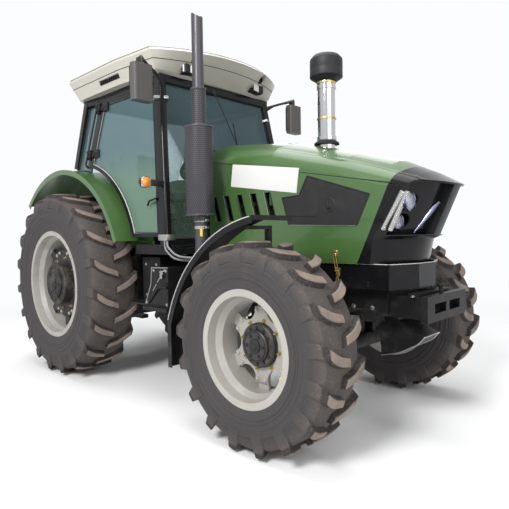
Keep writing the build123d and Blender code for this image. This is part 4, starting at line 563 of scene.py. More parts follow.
class Look(Enum):
    """The tractor's finishes."""

    GREEN = Paint("green_enamel", (0.045, 0.105, 0.026), rough=0.3, coat=0.35, dust=0.06)
    GLOSS = Paint("gloss_black", (0.006, 0.006, 0.007), rough=0.16, coat=0.0, dust=0.02, shine=0.22)
    BLACK = Paint("black_enamel", (0.009, 0.009, 0.010), rough=0.36, coat=0.0, dust=0.06, shine=0.14)
    SILVER = Paint("rim_enamel", (0.34, 0.325, 0.300), rough=0.34, coat=0.4, dust=0.16,
                   dust_colour=(0.34, 0.29, 0.23))
    CREAM = Paint("roof_enamel", (0.46, 0.44, 0.38), rough=0.38, coat=0.3, dust=0.10,
                  dust_colour=(0.17, 0.16, 0.13))
    CAST = Casting("cast_black", (0.018, 0.017, 0.017))
    PLASTIC = Moulded("black_plastic", (0.014, 0.014, 0.015))
    RUBBER = Moulded("seal_rubber", (0.012, 0.012, 0.012), rough=0.65)
    MIRROR_SHELL = Moulded("mirror_shell", (0.075, 0.072, 0.068), rough=0.42)
    TYRE = TyreRubber("tyre_rubber")
    GLASS = CabGlass("cab_glass")
    CHROME = Metal("chrome", (0.52, 0.52, 0.53), rough=0.09, smudge=0.08)
    STEEL = Metal("bright_steel", (0.40, 0.40, 0.39), rough=0.30, smudge=0.2)
    BRASS = Metal("brass", (0.62, 0.42, 0.13), rough=0.25, smudge=0.2)
    ALLOY = Metal("core_alloy", (0.40, 0.40, 0.40), rough=0.4)
    MUFFLER = Perforated("muffler_black", (0.052, 0.049, 0.056))
    LENS = Lens("clear_lens", (0.9, 0.92, 0.95))
    AMBER = Lens("amber_lens", (0.95, 0.35, 0.04), clear=0.15)
    RED = Lens("red_lens", (0.6, 0.03, 0.02), clear=0.15)
    CLOTH = Woven("seat_cloth", (0.03, 0.03, 0.034))
    FRONT_HUB = HubPaintAndDiscShade("front_hub", FRONT)
    # Painted shade: the rear rims' discs are near-black inside 0.425 m to stand for the shadow they lie in.
    REAR_RIM = HubPaintAndDiscShade("rear_rim", REAR, 0.425, (0.34, 0.325, 0.300), (0.011, 0.012, 0.015))
    ZINC = Metal("yellow_zinc", (0.46, 0.38, 0.16), rough=0.35, smudge=0.2)
    BLANK = Paint("bare_plate", (0.64, 0.64, 0.62), rough=0.3, coat=0.3, dust=0.03)
    BLUED = Metal("blued_steel", (0.20, 0.21, 0.30), rough=0.25)
    SEAL = Moulded("pale_seal", (0.42, 0.42, 0.41), rough=0.35)
    GREY_TUBE = Moulded("grey_tube", (0.20, 0.20, 0.21), rough=0.4)
    CLEAR = Lens("clear_cover", (0.85, 0.88, 0.92), clear=0.75)
    FROSTED = Moulded("frosted_lens", (0.72, 0.73, 0.74), rough=0.25, grain=300.0)
    TAG = Moulded("yellow_tag", (0.62, 0.50, 0.06), rough=0.4)
    CAP_RED = Moulded("red_cap", (0.35, 0.02, 0.015), rough=0.4)
    MUFFLER_PLAIN = Moulded("muffler_rim", (0.05, 0.048, 0.056), rough=0.35)

    @property
    def material(self) -> Material:
        """The finish's material, built on first use."""
        found = bpy.data.materials.get(f"finish_{self.value.name}")
        return found if found else self.value.build()


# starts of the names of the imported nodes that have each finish
NODE_LOOKS: dict[Look, tuple[str, ...]] = {
    Look.CAST: ("front_axle", "engine_block", "gearbox", "rear_axle", "lift_housing", "knuckle", "hub_rear"),
    Look.BLACK: ("front_frame", "cab_floor", "battery_box", "steps", "side_frame", "drawbar", "front_fender",
                 "track_rod", "lift_arms", "lower_links", "lift_rods"),
    Look.GLOSS: ("cowl", "cab_frame", "front_band", "bonnet_nose", "door_frame"),
    Look.PLASTIC: ("cab_lamps", "seat_base", "dash_console", "fuel_tank", "side_screens", "steering_wheel"),
    Look.GREEN: ("rear_fenders", "bonnet_shell"),
    Look.GLASS: ("cab_glass", "door_glass"),
    Look.ALLOY: ("radiator",),
    Look.MUFFLER: ("exhaust",),
    Look.CREAM: ("roof",),
    Look.MIRROR_SHELL: ("mirrors",),
    Look.LENS: ("headlamps",),
    Look.CHROME: ("air_intake",),
    Look.TYRE: ("tyre",),
    Look.SILVER: ("rim_front",),
    Look.REAR_RIM: ("rim_rear",),
    Look.FRONT_HUB: ("hub_front",),
    Look.CLOTH: ("seat_cushions",),
}


# ---- mesh building
def in_scene(name: str, data: Any) -> Object:
    """Return a new object in the scene."""
    thing = bpy.data.objects.new(name, data)
    bpy.context.scene.collection.objects.link(thing)
    return thing


def evaluated(thing: Object) -> Mesh:
    """Return an object's mesh with its modifiers applied, and clear them."""
    bpy.context.view_layer.update()
    graph = bpy.context.evaluated_depsgraph_get()
    made = bpy.data.meshes.new_from_object(thing.evaluated_get(graph), depsgraph=graph)
    thing.modifiers.clear()
    return made


def circle(middle: Vector, side: Vector, across: Vector, radius: float, segments: int) -> list[Vector]:
    """Return points round a middle, from side towards across."""
    angles = (2 * pi * i / segments for i in range(segments))
    return [middle + (side * cos(a) + across * sin(a)) * radius for a in angles]


def spokes(count: int) -> list[Vector]:
    """Return unit vectors evenly round the Z axis."""
    return circle(Vector(), Vector((1, 0, 0)), Vector((0, 1, 0)), 1.0, count)


class Form:
    """Collects faces in the machine's axes and turns them into pieces."""

    origin = Vector((0.0, 0.0, 0.0))

    def __init__(self) -> None:
        """Start with no faces."""
        self.bm = bmesh.new()

    @classmethod
    def set_origin(cls) -> None:
        """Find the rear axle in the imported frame."""
        low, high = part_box("hub_rear_left")
        cls.origin = Vector(((low.x + high.x) / 2, 0.0, 0.0))

    def add_grid(self, rows: Sequence[Sequence[Point]], wrap: bool = False, cap: bool = False) -> None:
        """Skin closed rows of points with quads.

        Args:
            rows: Rows of as many points each.
            wrap: Whether the last row joins the first.
            cap: Whether the first and last rows are filled.
        """
        made = [[self.bm.verts.new(Vector(p)) for p in row] for row in rows]
        count = len(made[0])
        for i in range(len(made) - (0 if wrap else 1)):
            a, b = made[i], made[(i + 1) % len(made)]
            for j in range(count):
                k = (j + 1) % count
                self.bm.faces.new((a[j], a[k], b[k], b[j]))
        if cap:
            self.bm.faces.new(made[0][::-1])
            self.bm.faces.new(made[-1])

    def block(self, low: Point, high: Point, bevel: float, turn: Matrix | None = None,
              steps: int = 2) -> None:
        """Add a box with rounded edges.

        Args:
            low: Lowest corner.
            high: Highest corner.
            bevel: Radius of its edges.
            turn: Turn about its middle.
            steps: Segments of each rounded edge.
        """
        low, high = Vector(low), Vector(high)
        place = Matrix.Translation((low + high) / 2) @ (turn.to_4x4() if turn else Matrix())
        matrix = place @ Matrix.Diagonal((*(high - low), 1))
        made = bmesh.ops.create_cube(self.bm, size=1.0, matrix=matrix)["verts"]
        edges = list({e for v in made for e in v.link_edges})
        bmesh.ops.bevel(self.bm, geom=edges, offset=bevel, segments=steps, affect="EDGES", profile=0.5)

    def slab(self, middle: Point, half: Point, bevel: float, turn: Matrix | None = None) -> None:
        """Add a box by its middle and half its size."""
        self.block(Vector(middle) - Vector(half), Vector(middle) + Vector(half), bevel, turn)

    def turned(self, profile: Sequence[Point], start: Point, axis: Point, segments: int,
               close: bool = False) -> None:
        """Turn a profile about an axis.

        Args:
            profile: Distance along the axis and radius of each point.
            start: Point of the axis at distance 0.
            axis: Its direction.
            segments: Faces round it.
            close: Whether the profile's end joins its start.
        """
        start, axis = Vector(start), Vector(axis).normalized()
        side = axis.orthogonal().normalized()
        across = axis.cross(side)
        rows = [circle(start + axis * along, side, across, max(radius, 1e-5), segments)
                for along, radius in profile]
        self.add_grid(rows, wrap=close)

    def rod(self, a: Point, b: Point, radius: float, segments: int) -> None:
        """Add a round bar from a to b with closed, softened ends."""
        a, b = Vector(a), Vector(b)
        length = (b - a).length
        edge = min(0.15 * radius, 0.2 * length)
        inner = radius - edge
        profile = ((0, 0), (0, inner), (edge, radius), (length - edge, radius), (length, inner), (length, 0))
        self.turned(profile, a, b - a, segments)

    def pipe(self, points: Sequence[Point], radius: float, bend: float, segments: int = 14,
             steps: int = 6) -> None:
        """Add a round pipe along straight runs with rounded corners.

        Args:
            points: Corners of its route.
            radius: Radius of the pipe.
            bend: Length of each corner's curve along its runs.
            segments: Faces round it.
            steps: Rings in each corner.
        """
        corners = [Vector(p) for p in points]
        path = [corners[0]]
        for before, here, after in zip(corners, corners[1:], corners[2:]):
            cut = min(bend, 0.45 * (here - before).length, 0.45 * (after - here).length)
            start, end = here + (before - here).normalized() * cut, here + (after - here).normalized() * cut
            for i in range(steps + 1):
                t = i / steps
                path.append(start * (1 - t) ** 2 + here * 2 * t * (1 - t) + end * t * t)
        path.append(corners[-1])
        side = (path[1] - path[0]).orthogonal().normalized()
        rows = []
        for i, point in enumerate(path):
            ahead = (path[min(i + 1, len(path) - 1)] - path[max(i - 1, 0)]).normalized()
            side = (side - ahead * side.dot(ahead)).normalized()
            rows.append(circle(point, side, ahead.cross(side), radius, segments))
        self.add_grid(rows, cap=True)

    def mirror(self) -> None:
        """Add the mirror image on the other side of the machine."""
        geometry = self.bm.verts[:] + self.bm.edges[:] + self.bm.faces[:]
        made = bmesh.ops.duplicate(self.bm, geom=geometry)["geom"]
        for vert in (g for g in made if isinstance(g, bmesh.types.BMVert)):
            vert.co.y = -vert.co.y
        bmesh.ops.reverse_faces(self.bm, faces=[g for g in made if isinstance(g, bmesh.types.BMFace)])

    def mesh(self, name: str, smooth: float = 40.0) -> Mesh:
        """Return the faces as a mesh.

        Args:
            name: Its name.
            smooth: Edges sharper than this many degrees stay sharp.

        Returns:
            The mesh, in the machine's axes.
        """
        bmesh.ops.remove_doubles(self.bm, verts=self.bm.verts[:], dist=1e-6)
        bmesh.ops.recalc_face_normals(self.bm, faces=self.bm.faces[:])
        data = bpy.data.meshes.new(name)
        self.bm.to_mesh(data)
        self.bm.free()
        data.shade_smooth()
        data.set_sharp_from_angle(angle=radians(smooth))
        return data

    def piece(self, name: str, look: Look, body: str = "chassis", slot: str = "",
              replaces: Sequence[str] = ()) -> None:
        """Make the faces a piece of the machine, as mount does."""
        mount(self.mesh(name), name, look, body, replaces)


def mount(data: Mesh, name: str, look: Look, body: str = "chassis",
          replaces: Sequence[str] = ()) -> Object:
    """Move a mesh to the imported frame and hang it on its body.

    Args:
        data: Mesh in the machine's axes.
        name: The piece's name.
        look: Its finish.
        body: Body that it rides on.
        replaces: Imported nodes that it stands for.

    Returns:
        The piece.
    """
    data.transform(Matrix.Translation(Form.origin))
    data.materials.clear()
    data.materials.append(look.material)
    piece = in_scene(name, data)
    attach(piece, body)
    if replaces:
        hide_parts(*replaces)
    log.info("%s: %d faces on %s", name, len(data.polygons), body)
    return piece


class Repeater:
    """Geometry Nodes trees that set copies of an item round an axis or on places."""

    def __init__(self) -> None:
        """Build the trees."""
        item, finish = ("Item", "NodeSocketObject"), ("Finish", "NodeSocketMaterial")
        count, phase = ("Count", "NodeSocketInt"), ("Phase", "NodeSocketFloat")
        self.spin_tree = self._tree("copies_round_axis", (item, count, phase, finish))
        self._fill_spin()
        self.place_tree = self._tree("copies_at_places", (("Places", "NodeSocketGeometry"), item, finish))
        self._fill_places()

    @staticmethod
    def _tree(name: str, sockets: Sequence[tuple[str, str]]) -> NodeTree:
        """Return an empty tree with named inputs."""
        tree = bpy.data.node_groups.new(name, "GeometryNodeTree")
        tree.interface.new_socket("Geometry", in_out="OUTPUT", socket_type="NodeSocketGeometry")
        for label, kind in sockets:
            tree.interface.new_socket(label, in_out="INPUT", socket_type=kind)
        return tree

    @staticmethod
    def _add(tree: NodeTree, kind: str, links: dict[Any, Any], **settings: Any) -> Node:
        """Add a node with its settings, values and links."""
        node = tree.nodes.new(kind)
        for key, value in settings.items():
            setattr(node, key, value)
        for key, value in links.items():
            feed(node.inputs[key], value)
        return node

    def _finish(self, tree: NodeTree, source: Node, points: NodeSocket,
                turn: NodeSocket) -> None:
        """Place the item on points, realize it and set its material."""
        item = self._add(tree, "GeometryNodeObjectInfo", {0: source.outputs["Item"]})
        links = {"Points": points, "Instance": item.outputs["Geometry"], "Rotation": turn}
        copies = self._add(tree, "GeometryNodeInstanceOnPoints", links)
        solid = self._add(tree, "GeometryNodeRealizeInstances", {0: copies.outputs[0]})
        links = {0: solid.outputs[0], "Material": source.outputs["Finish"]}
        dressed = self._add(tree, "GeometryNodeSetMaterial", links)
        self._add(tree, "NodeGroupOutput", {0: dressed.outputs[0]})

    def _fill_spin(self) -> None:
        """Fill the tree that turns copies about the Y axis."""
        tree = self.spin_tree
        source = tree.nodes.new("NodeGroupInput")
        points = self._add(tree, "GeometryNodePoints", {"Count": source.outputs["Count"]})
        index = tree.nodes.new("GeometryNodeInputIndex")
        links = {0: 2 * pi, 1: source.outputs["Count"]}
        step = self._add(tree, "ShaderNodeMath", links, operation="DIVIDE")
        links = {0: index.outputs[0], 1: step.outputs[0], 2: source.outputs["Phase"]}
        angle = self._add(tree, "ShaderNodeMath", links, operation="MULTIPLY_ADD")
        turn = self._add(tree, "ShaderNodeCombineXYZ", {1: angle.outputs[0]})
        self._finish(tree, source, points.outputs[0], turn.outputs[0])

    def _fill_places(self) -> None:
        """Fill the tree that stands copies on points, each along the point's own direction."""
        tree = self.place_tree
        source = tree.nodes.new("NodeGroupInput")
        facing = self._add(tree, "GeometryNodeInputNamedAttribute", {"Name": "facing"},
                           data_type="FLOAT_VECTOR")
        turn = self._add(tree, "FunctionNodeAlignRotationToVector", {"Vector": facing.outputs[0]}, axis="Z")
        self._finish(tree, source, source.outputs["Places"], turn.outputs[0])

    @staticmethod
    def _run(tree: NodeTree, item: Mesh, values: dict[str, Any],
             places: Mesh | None = None) -> Mesh:
        """Evaluate a tree on an item and return the plain mesh."""
        stock = in_scene("stock", item)
        host = in_scene("host", places or bpy.data.meshes.new("host"))
        modifier = host.modifiers.new("copies", "NODES")
        modifier.node_group = tree
        keys = {s.name: s.identifier for s in tree.interface.items_tree
                if s.in_out == "INPUT" and s.socket_type != "NodeSocketGeometry"}
        for label, value in {**values, "Item": stock}.items():
            modifier[keys[label]] = value
        made = evaluated(host)
        for thing in (host, stock):
            bpy.data.objects.remove(thing)
        return made

    def round_axis(self, item: Mesh, count: int, look: Look, phase: float) -> Mesh:
        """Return one mesh of copies turned about the Y axis, the first by the phase in radians."""
        return self._run(self.spin_tree, item, {"Count": count, "Phase": phase, "Finish": look.material})

    def at_places(self, item: Mesh, places: Sequence[tuple[Point, Point]], look: Look) -> Mesh:
        """Stand copies of an item on places.

        Args:
            item: Mesh of one copy, standing on Z.
            places: Point and direction of each copy.
            look: Their finish.

        Returns:
            One mesh of all the copies.
        """
        points = bpy.data.meshes.new("places")
        points.from_pydata([place for place, _ in places], [], [])
        layer = points.attributes.new("facing", "FLOAT_VECTOR", "POINT")
        for spot, (_, facing) in zip(layer.data, places):
            spot.vector = facing
        return self._run(self.place_tree, item, {"Finish": look.material}, points)


def joined(name: str, meshes: Iterable[Mesh], smooth: float) -> Mesh:
    """Join meshes into one.

    Args:
        name: Name of the result.
        meshes: Meshes in one frame.
        smooth: Edges sharper than this many degrees stay sharp.

    Returns:
        The joined mesh.
    """
    bm = bmesh.new()
    for data in meshes:
        bm.from_mesh(data)
    out = bpy.data.meshes.new(name)
    bm.to_mesh(out)
    bm.free()
    out.shade_smooth()
    out.set_sharp_from_angle(angle=radians(smooth))
    return out


# ---- wheels
@dataclass
class Tyre:
    """Field tyre with two rows of curved bar lugs."""

    wheel: Wheel
    side: int
    name: str
    lug_height: float = 0.038
    lug_width: float = 0.060

    def profile(self) -> list[tuple[float, float]]:
        """Return the carcass's outline from bead to bead, as distance across and radius."""
        rim, width = self.wheel.rim_radius, self.wheel.width
        tread = self.wheel.radius - self.lug_height
        bead = 0.5 * self.wheel.rim_width - 0.014
        rise = tread - rim
        half = [(bead, rim + 0.004), (bead + 0.004, rim + 0.020), (bead + 0.018, rim + 0.036),
                (bead + 0.024, rim + 0.050)]
        for share, across in ((0.30, 0.478), (0.38, 0.488), (0.50, 0.4955), (0.64, 0.490), (0.72, 0.481)):
            y, r = across * width, rim + share * rise
            half += [(y - 0.001, r - 0.006), (y + 0.002, r - 0.0035), (y + 0.002, r + 0.0035),
                     (y - 0.001, r + 0.006)]
        half += [(0.470 * width, rim + 0.80 * rise), (0.440 * width, tread - 0.030),
                 (0.390 * width, tread - 0.012), (0.260 * width, tread - 0.003), (0.0, tread)]
        return [(-y, r) for y, r in half] + [(y, r) for y, r in reversed(half[:-1])]

    def ground_radius(self, across: float) -> float:
        """Return the carcass's radius at a distance from its middle."""
        least = 0.6 * self.wheel.radius + 0.4 * self.wheel.rim_radius
        points = [p for p in self.profile() if p[0] >= 0 and p[1] > least]
        points.sort()
        for (ya, ra), (yb, rb) in zip(points, points[1:]):
            if ya <= across <= yb:
                return ra + (rb - ra) * (across - ya) / (yb - ya)
        return points[-1][1]

    def lug(self) -> Mesh:
        """Return one lug of the outer row, at the top of the tyre."""
        radius, width, wide = self.wheel.radius, self.wheel.width, self.lug_width
        start, end = 0.22 * width - 0.7 * wide, -0.22 * width + 0.65 * wide
        rows = []
        steps = 9
        for i in range(steps + 1):
            t = i / steps
            across = -0.008 + (0.455 * width + 0.008) * t
            along = start + (end - start) * (t ** 0.85) + 0.022 * sin(pi * t)
            top = radius - 0.012 * max(0.0, (t - 0.55) / 0.45) ** 2
            half = 0.5 * wide * (0.72 + 0.30 * t)
            base = self.ground_radius(abs(across)) - 0.012
            rows.append(self._bar(across, along, top, base, half, half + 0.016))
        # the end turns down the shoulder
        low = self.ground_radius(0.49 * width) - 0.045
        rows.append(self._bar(0.494 * width, end, radius - 0.075, low, 0.55 * wide, 0.75 * wide))
        form = Form()
        form.add_grid(rows, cap=True)
        return form.mesh("lug", 30)

    @staticmethod
    def _bar(across: float, along: float, top: float, base: float, half_top: float,
             half_base: float) -> list[Point]:
        """Return one section of a lug as four corners and two soft edges."""
        def at(offset: float, radius: float) -> Vector:
            angle = (along + offset) / radius
            return Vector((radius * sin(angle), across, radius * cos(angle)))
        edge = 0.004
        return [at(-half_base, base), at(half_base, base), at(half_top + 0.001, top - edge),
                at(half_top - edge, top), at(edge - half_top, top), at(-half_top - 0.001, top - edge)]

    def build(self, repeat: Repeater) -> None:
        """Make the tyre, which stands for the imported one."""
        carcass = Form()
        carcass.turned(self.profile(), (0, 0, 0), (0, 1, 0), 120, close=True)
        body = carcass.mesh("carcass", 60)
        step = 2 * pi / self.wheel.tyre_lugs
        phase = pi - step / 4 + asin(0.22 * self.wheel.width / self.wheel.radius)
        one = self.lug()
        other = one.copy()
        other.transform(Matrix.Diagonal((1, -1, 1, 1)))
        other.flip_normals()
        left = repeat.round_axis(one, self.wheel.tyre_lugs, Look.TYRE, phase)
        right = repeat.round_axis(other, self.wheel.tyre_lugs, Look.TYRE, phase + step / 2)
        data = joined(f"tyre_{self.name}", (body, left, right), 32)
        self._store_dust_and_shade(data)
        data.transform(Matrix.Translation(self.wheel.at(self.side * self.wheel.y)))
        mount(data, f"Tyre_{self.name}", Look.TYRE, f"wheel_{self.name}", replaces=(f"tyre_{self.name}",))

    def _store_dust_and_shade(self, data: Mesh) -> None:
        """Store a mask of dust and painted shade on each point: 0 on the side walls, 0.5 in the grooves, 1 on
        the lugs' tops; the lower flanks in between get the painted shade.
        """
        layer = data.attributes.new("dusty", "FLOAT", "POINT")
        tread = self.wheel.radius - self.lug_height
        for i, vert in enumerate(data.vertices):
            radius = hypot(vert.co.x, vert.co.z)
            low = min(1.0, max(0.0, (radius - (tread - 0.07)) / 0.06))
            high = min(1.0, max(0.0, (radius - tread - 0.008) / (0.6 * self.lug_height)))
            layer.data[i].value = 0.5 * low + 0.5 * high


# ---- fasteners and seams
class Fastener(Enum):
    """Fasteners by head radius and height in metres."""

    SMALL = (0.006, 0.005)
    MEDIUM = (0.009, 0.007)
    LARGE = (0.013, 0.010)
    NUT = (0.0105, 0.014)

    def mesh(self) -> Mesh:
        """Return a washer and a chamfered hexagon head, with a stud end for nuts, that stand on Z."""
        radius, height = self.value
        washer, stud = radius * 1.35, radius * 0.5
        form = Form()
        form.turned(((-0.004, 0), (-0.004, washer), (0.002, washer), (0.0025, radius * 1.2), (0.0025, 0)),
                    (0, 0, 0), UP, 14)
        form.turned(((0.0, 0), (0.0, radius), (height * 0.85, radius), (height, radius * 0.82), (height, 0)),
                    (0, 0, 0), UP, 6)
        if self is Fastener.NUT:
            form.turned(((height - 0.001, 0), (height - 0.001, stud), (height + 0.01, stud),
                         (height + 0.012, radius * 0.4), (height + 0.012, 0)), (0, 0, 0), UP, 10)
        return form.mesh("fastener", 25)


@dataclass
class Fixings:
    """Places and directions of fasteners that share one size, finish and body."""

    name: str
    size: Fastener
    look: Look = Look.STEEL
    body: str = "chassis"
    places: list[tuple[Point, Point]] = field(default_factory=list)

    def at(self, place: Point, facing: Point, both: bool = False) -> None:
        """Add a fastener, and its twin on the other side if both is set."""
        self.places.append((tuple(place), tuple(facing)))
        if both:
            self.places.append(((place[0], -place[1], place[2]), (facing[0], -facing[1], facing[2])))

    def ring(self, middle: Point, radius: float, count: int, facing: Point, first: float = 0.0) -> None:
        """Add fasteners evenly round a circle.

        Args:
            middle: The circle's middle.
            radius: Its radius.
            count: Number of fasteners.
            facing: Their direction, along one axis.
            first: Angle of the first one.
        """
        axis = next(i for i in range(3) if facing[i])
        for i in range(count):
            angle = first + 2 * pi * i / count
            place = list(middle)
            place[(axis + 1) % 3] += radius * cos(angle)
            place[(axis + 2) % 3] += radius * sin(angle)
            self.at(place, facing)

    def build(self, repeat: Repeater) -> None:
        """Make them one piece."""
        data = repeat.at_places(self.size.mesh(), self.places, self.look)
        mount(joined(self.name, (data,), 25), self.name, self.look, self.body)


class NodeEdges:
    """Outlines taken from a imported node, in the machine's axes."""

    def __init__(self, node: str) -> None:
        """Copy the node's mesh, merge it and join its flat faces.

        Args:
            node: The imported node's name.
        """
        self.bm = bmesh.new()
        self.bm.from_mesh(bpy.data.objects[node].data)
        bmesh.ops.remove_doubles(self.bm, verts=self.bm.verts[:], dist=2e-5)
        bmesh.ops.dissolve_limit(self.bm, angle_limit=radians(1.0), verts=self.bm.verts[:],
                                 edges=self.bm.edges[:])

    def largest(self, facing: Point) -> list[Vector]:
        """Return the corners of the largest face that looks one way, within about 45 degrees."""
        facing = Vector(facing).normalized()
        faces = (f for f in self.bm.faces if f.normal.dot(facing) > 0.7)
        face = max(faces, key=lambda f: f.calc_area())
        return [v.co - Form.origin for v in face.verts]

    def level(self, height: float) -> list[Vector]:
        """Return the node's longest outline at a height.

        Args:
            height: Where the node is cut.

        Returns:
            The outline's corners in order.
        """
        cut = self.bm.copy()
        geometry = cut.verts[:] + cut.edges[:] + cut.faces[:]
        made = bmesh.ops.bisect_plane(cut, geom=geometry, plane_co=(0, 0, height), plane_no=UP)
        left = {edge for edge in made["geom_cut"] if isinstance(edge, bmesh.types.BMEdge)}
        best: list[Vector] = []
        while left:
            edge = min(left, key=lambda e: e.index)
            vert, ring = edge.verts[0], []
            while edge:
                left.discard(edge)
                ring.append(vert.co - Form.origin)
                vert = edge.other_vert(vert)
                edge = next((e for e in vert.link_edges if e in left), None)
            best = max(best, ring, key=len)
        cut.free()
        return best


def seam(form: Form, loop: Sequence[Vector], radius: float, lift: Point = (0, 0, 0),
         pull: float = 0.0) -> None:
    """Run a round seal along a closed outline.

    Args:
        form: Form that gets it.
        loop: The outline's corners.
        radius: The seal's radius.
        lift: Shift of the whole seal.
        pull: How far the seal lies inside the outline.
    """
    middle = sum((Vector(p) for p in loop), Vector()) / len(loop)
    points = []
    for point in loop:
        if not points or (point - points[-1]).length > 0.006:
            points.append(point)
    points = [p + (middle - p).normalized() * pull + Vector(lift) for p in points]
    count = len(points)
    normal = sum(((points[i] - middle).cross(points[(i + 1) % count] - middle) for i in range(count)),
                 Vector()).normalized()
    rows = []
    for i, point in enumerate(points):
        ahead = (points[(i + 1) % count] - points[i - 1]).normalized()
        rows.append(circle(point, ahead.cross(normal).normalized(), normal, radius, 8))
    form.add_grid(rows, wrap=True)


# ---- wheel hardware
@dataclass
class WheelTrim:
    """Bolts, nuts, hub rings and the valve of one wheel."""

    wheel: Wheel
    side: int
    name: str
    studs: int = 8
    bolt_gap: float = 0.068
    valve_angle: float = 2.1

    def build(self, repeat: Repeater) -> None:
        """Make the fasteners, the hub's rings and the valve."""
        wheel, side, out = self.wheel, self.side, (0, self.side, 0)
        body = f"wheel_{self.name}"
        bolts = Fixings(f"Wheel_bolts_{self.name}", Fastener.LARGE, Look.SILVER, body)
        nuts = Fixings(f"Wheel_nuts_{self.name}", Fastener.NUT, Look.ZINC, body)
        small = Fixings(f"Hub_bolts_{self.name}", Fastener.MEDIUM, Look.CAST, body)
        disc, drum, nose = (wheel.at(side * y) for y in (wheel.disc_y, wheel.drum_y, wheel.nose_y))
        turn = 0.5 * self.bolt_gap / wheel.lug_radius
        for first in (wheel.first_lug - turn, wheel.first_lug + turn):
            bolts.ring(disc, wheel.lug_radius, wheel.rim_lugs, out, first)
        nuts.ring(disc, wheel.stud_radius, self.studs, out, 0.5 * pi / self.studs)
        small.ring(drum, 0.5 * (wheel.nose_radius + wheel.drum_radius) - 0.003, 12, out)
        small.ring(nose, 0.68 * wheel.nose_radius, 6, out, pi / 6)
        for fixings in (bolts, nuts, small):
            fixings.build(repeat)
        rings = Form()
        r = wheel.nose_radius
        rings.turned(((-0.003, 0), (-0.003, r * 0.46), (0.006, r * 0.46), (0.010, r * 0.41),
                      (0.010, r * 0.28), (0.015, r * 0.24), (0.015, 0)), nose, out, 40)
        rings.turned(((-0.003, r * 0.86), (0.003, r * 0.86), (0.005, r * 0.89), (0.003, r * 0.92),
                      (-0.003, r * 0.92)), nose, out, 48, close=True)
        r = wheel.drum_radius
        rings.turned(((-0.003, r - 0.01), (-0.003, r + 0.012), (0.005, r + 0.012), (0.009, r + 0.004),
                      (0.009, r - 0.01)), disc, out, 56, close=True)
        rings.piece(f"Hub_rings_{self.name}", Look.CAST, body)
        self.valve(body)

    def valve(self, body: str) -> None:
        """Make the valve that comes out of the rim."""
        across = Vector((0, self.side, 0))
        inward = -Vector((sin(self.valve_angle), 0, cos(self.valve_angle)))
        middle = Vector(self.wheel.at(self.side * (self.wheel.disc_y + 0.05)))
        foot = middle - inward * self.wheel.valve_radius
        tip = foot + inward * 0.012 + across * 0.045
        form = Form()
        form.turned(((-0.012, 0), (-0.012, 0.012), (0.004, 0.012), (0.010, 0.006), (0.018, 0.006),
                     (0.018, 0)), foot, inward, 14)
        form.rod(foot + inward * 0.010, tip + inward * 0.004, 0.0042, 10)
        form.rod(tip, tip + across * 0.014, 0.006, 10)
        form.piece(f"Valve_{self.name}", Look.BRASS, body, "chrome")


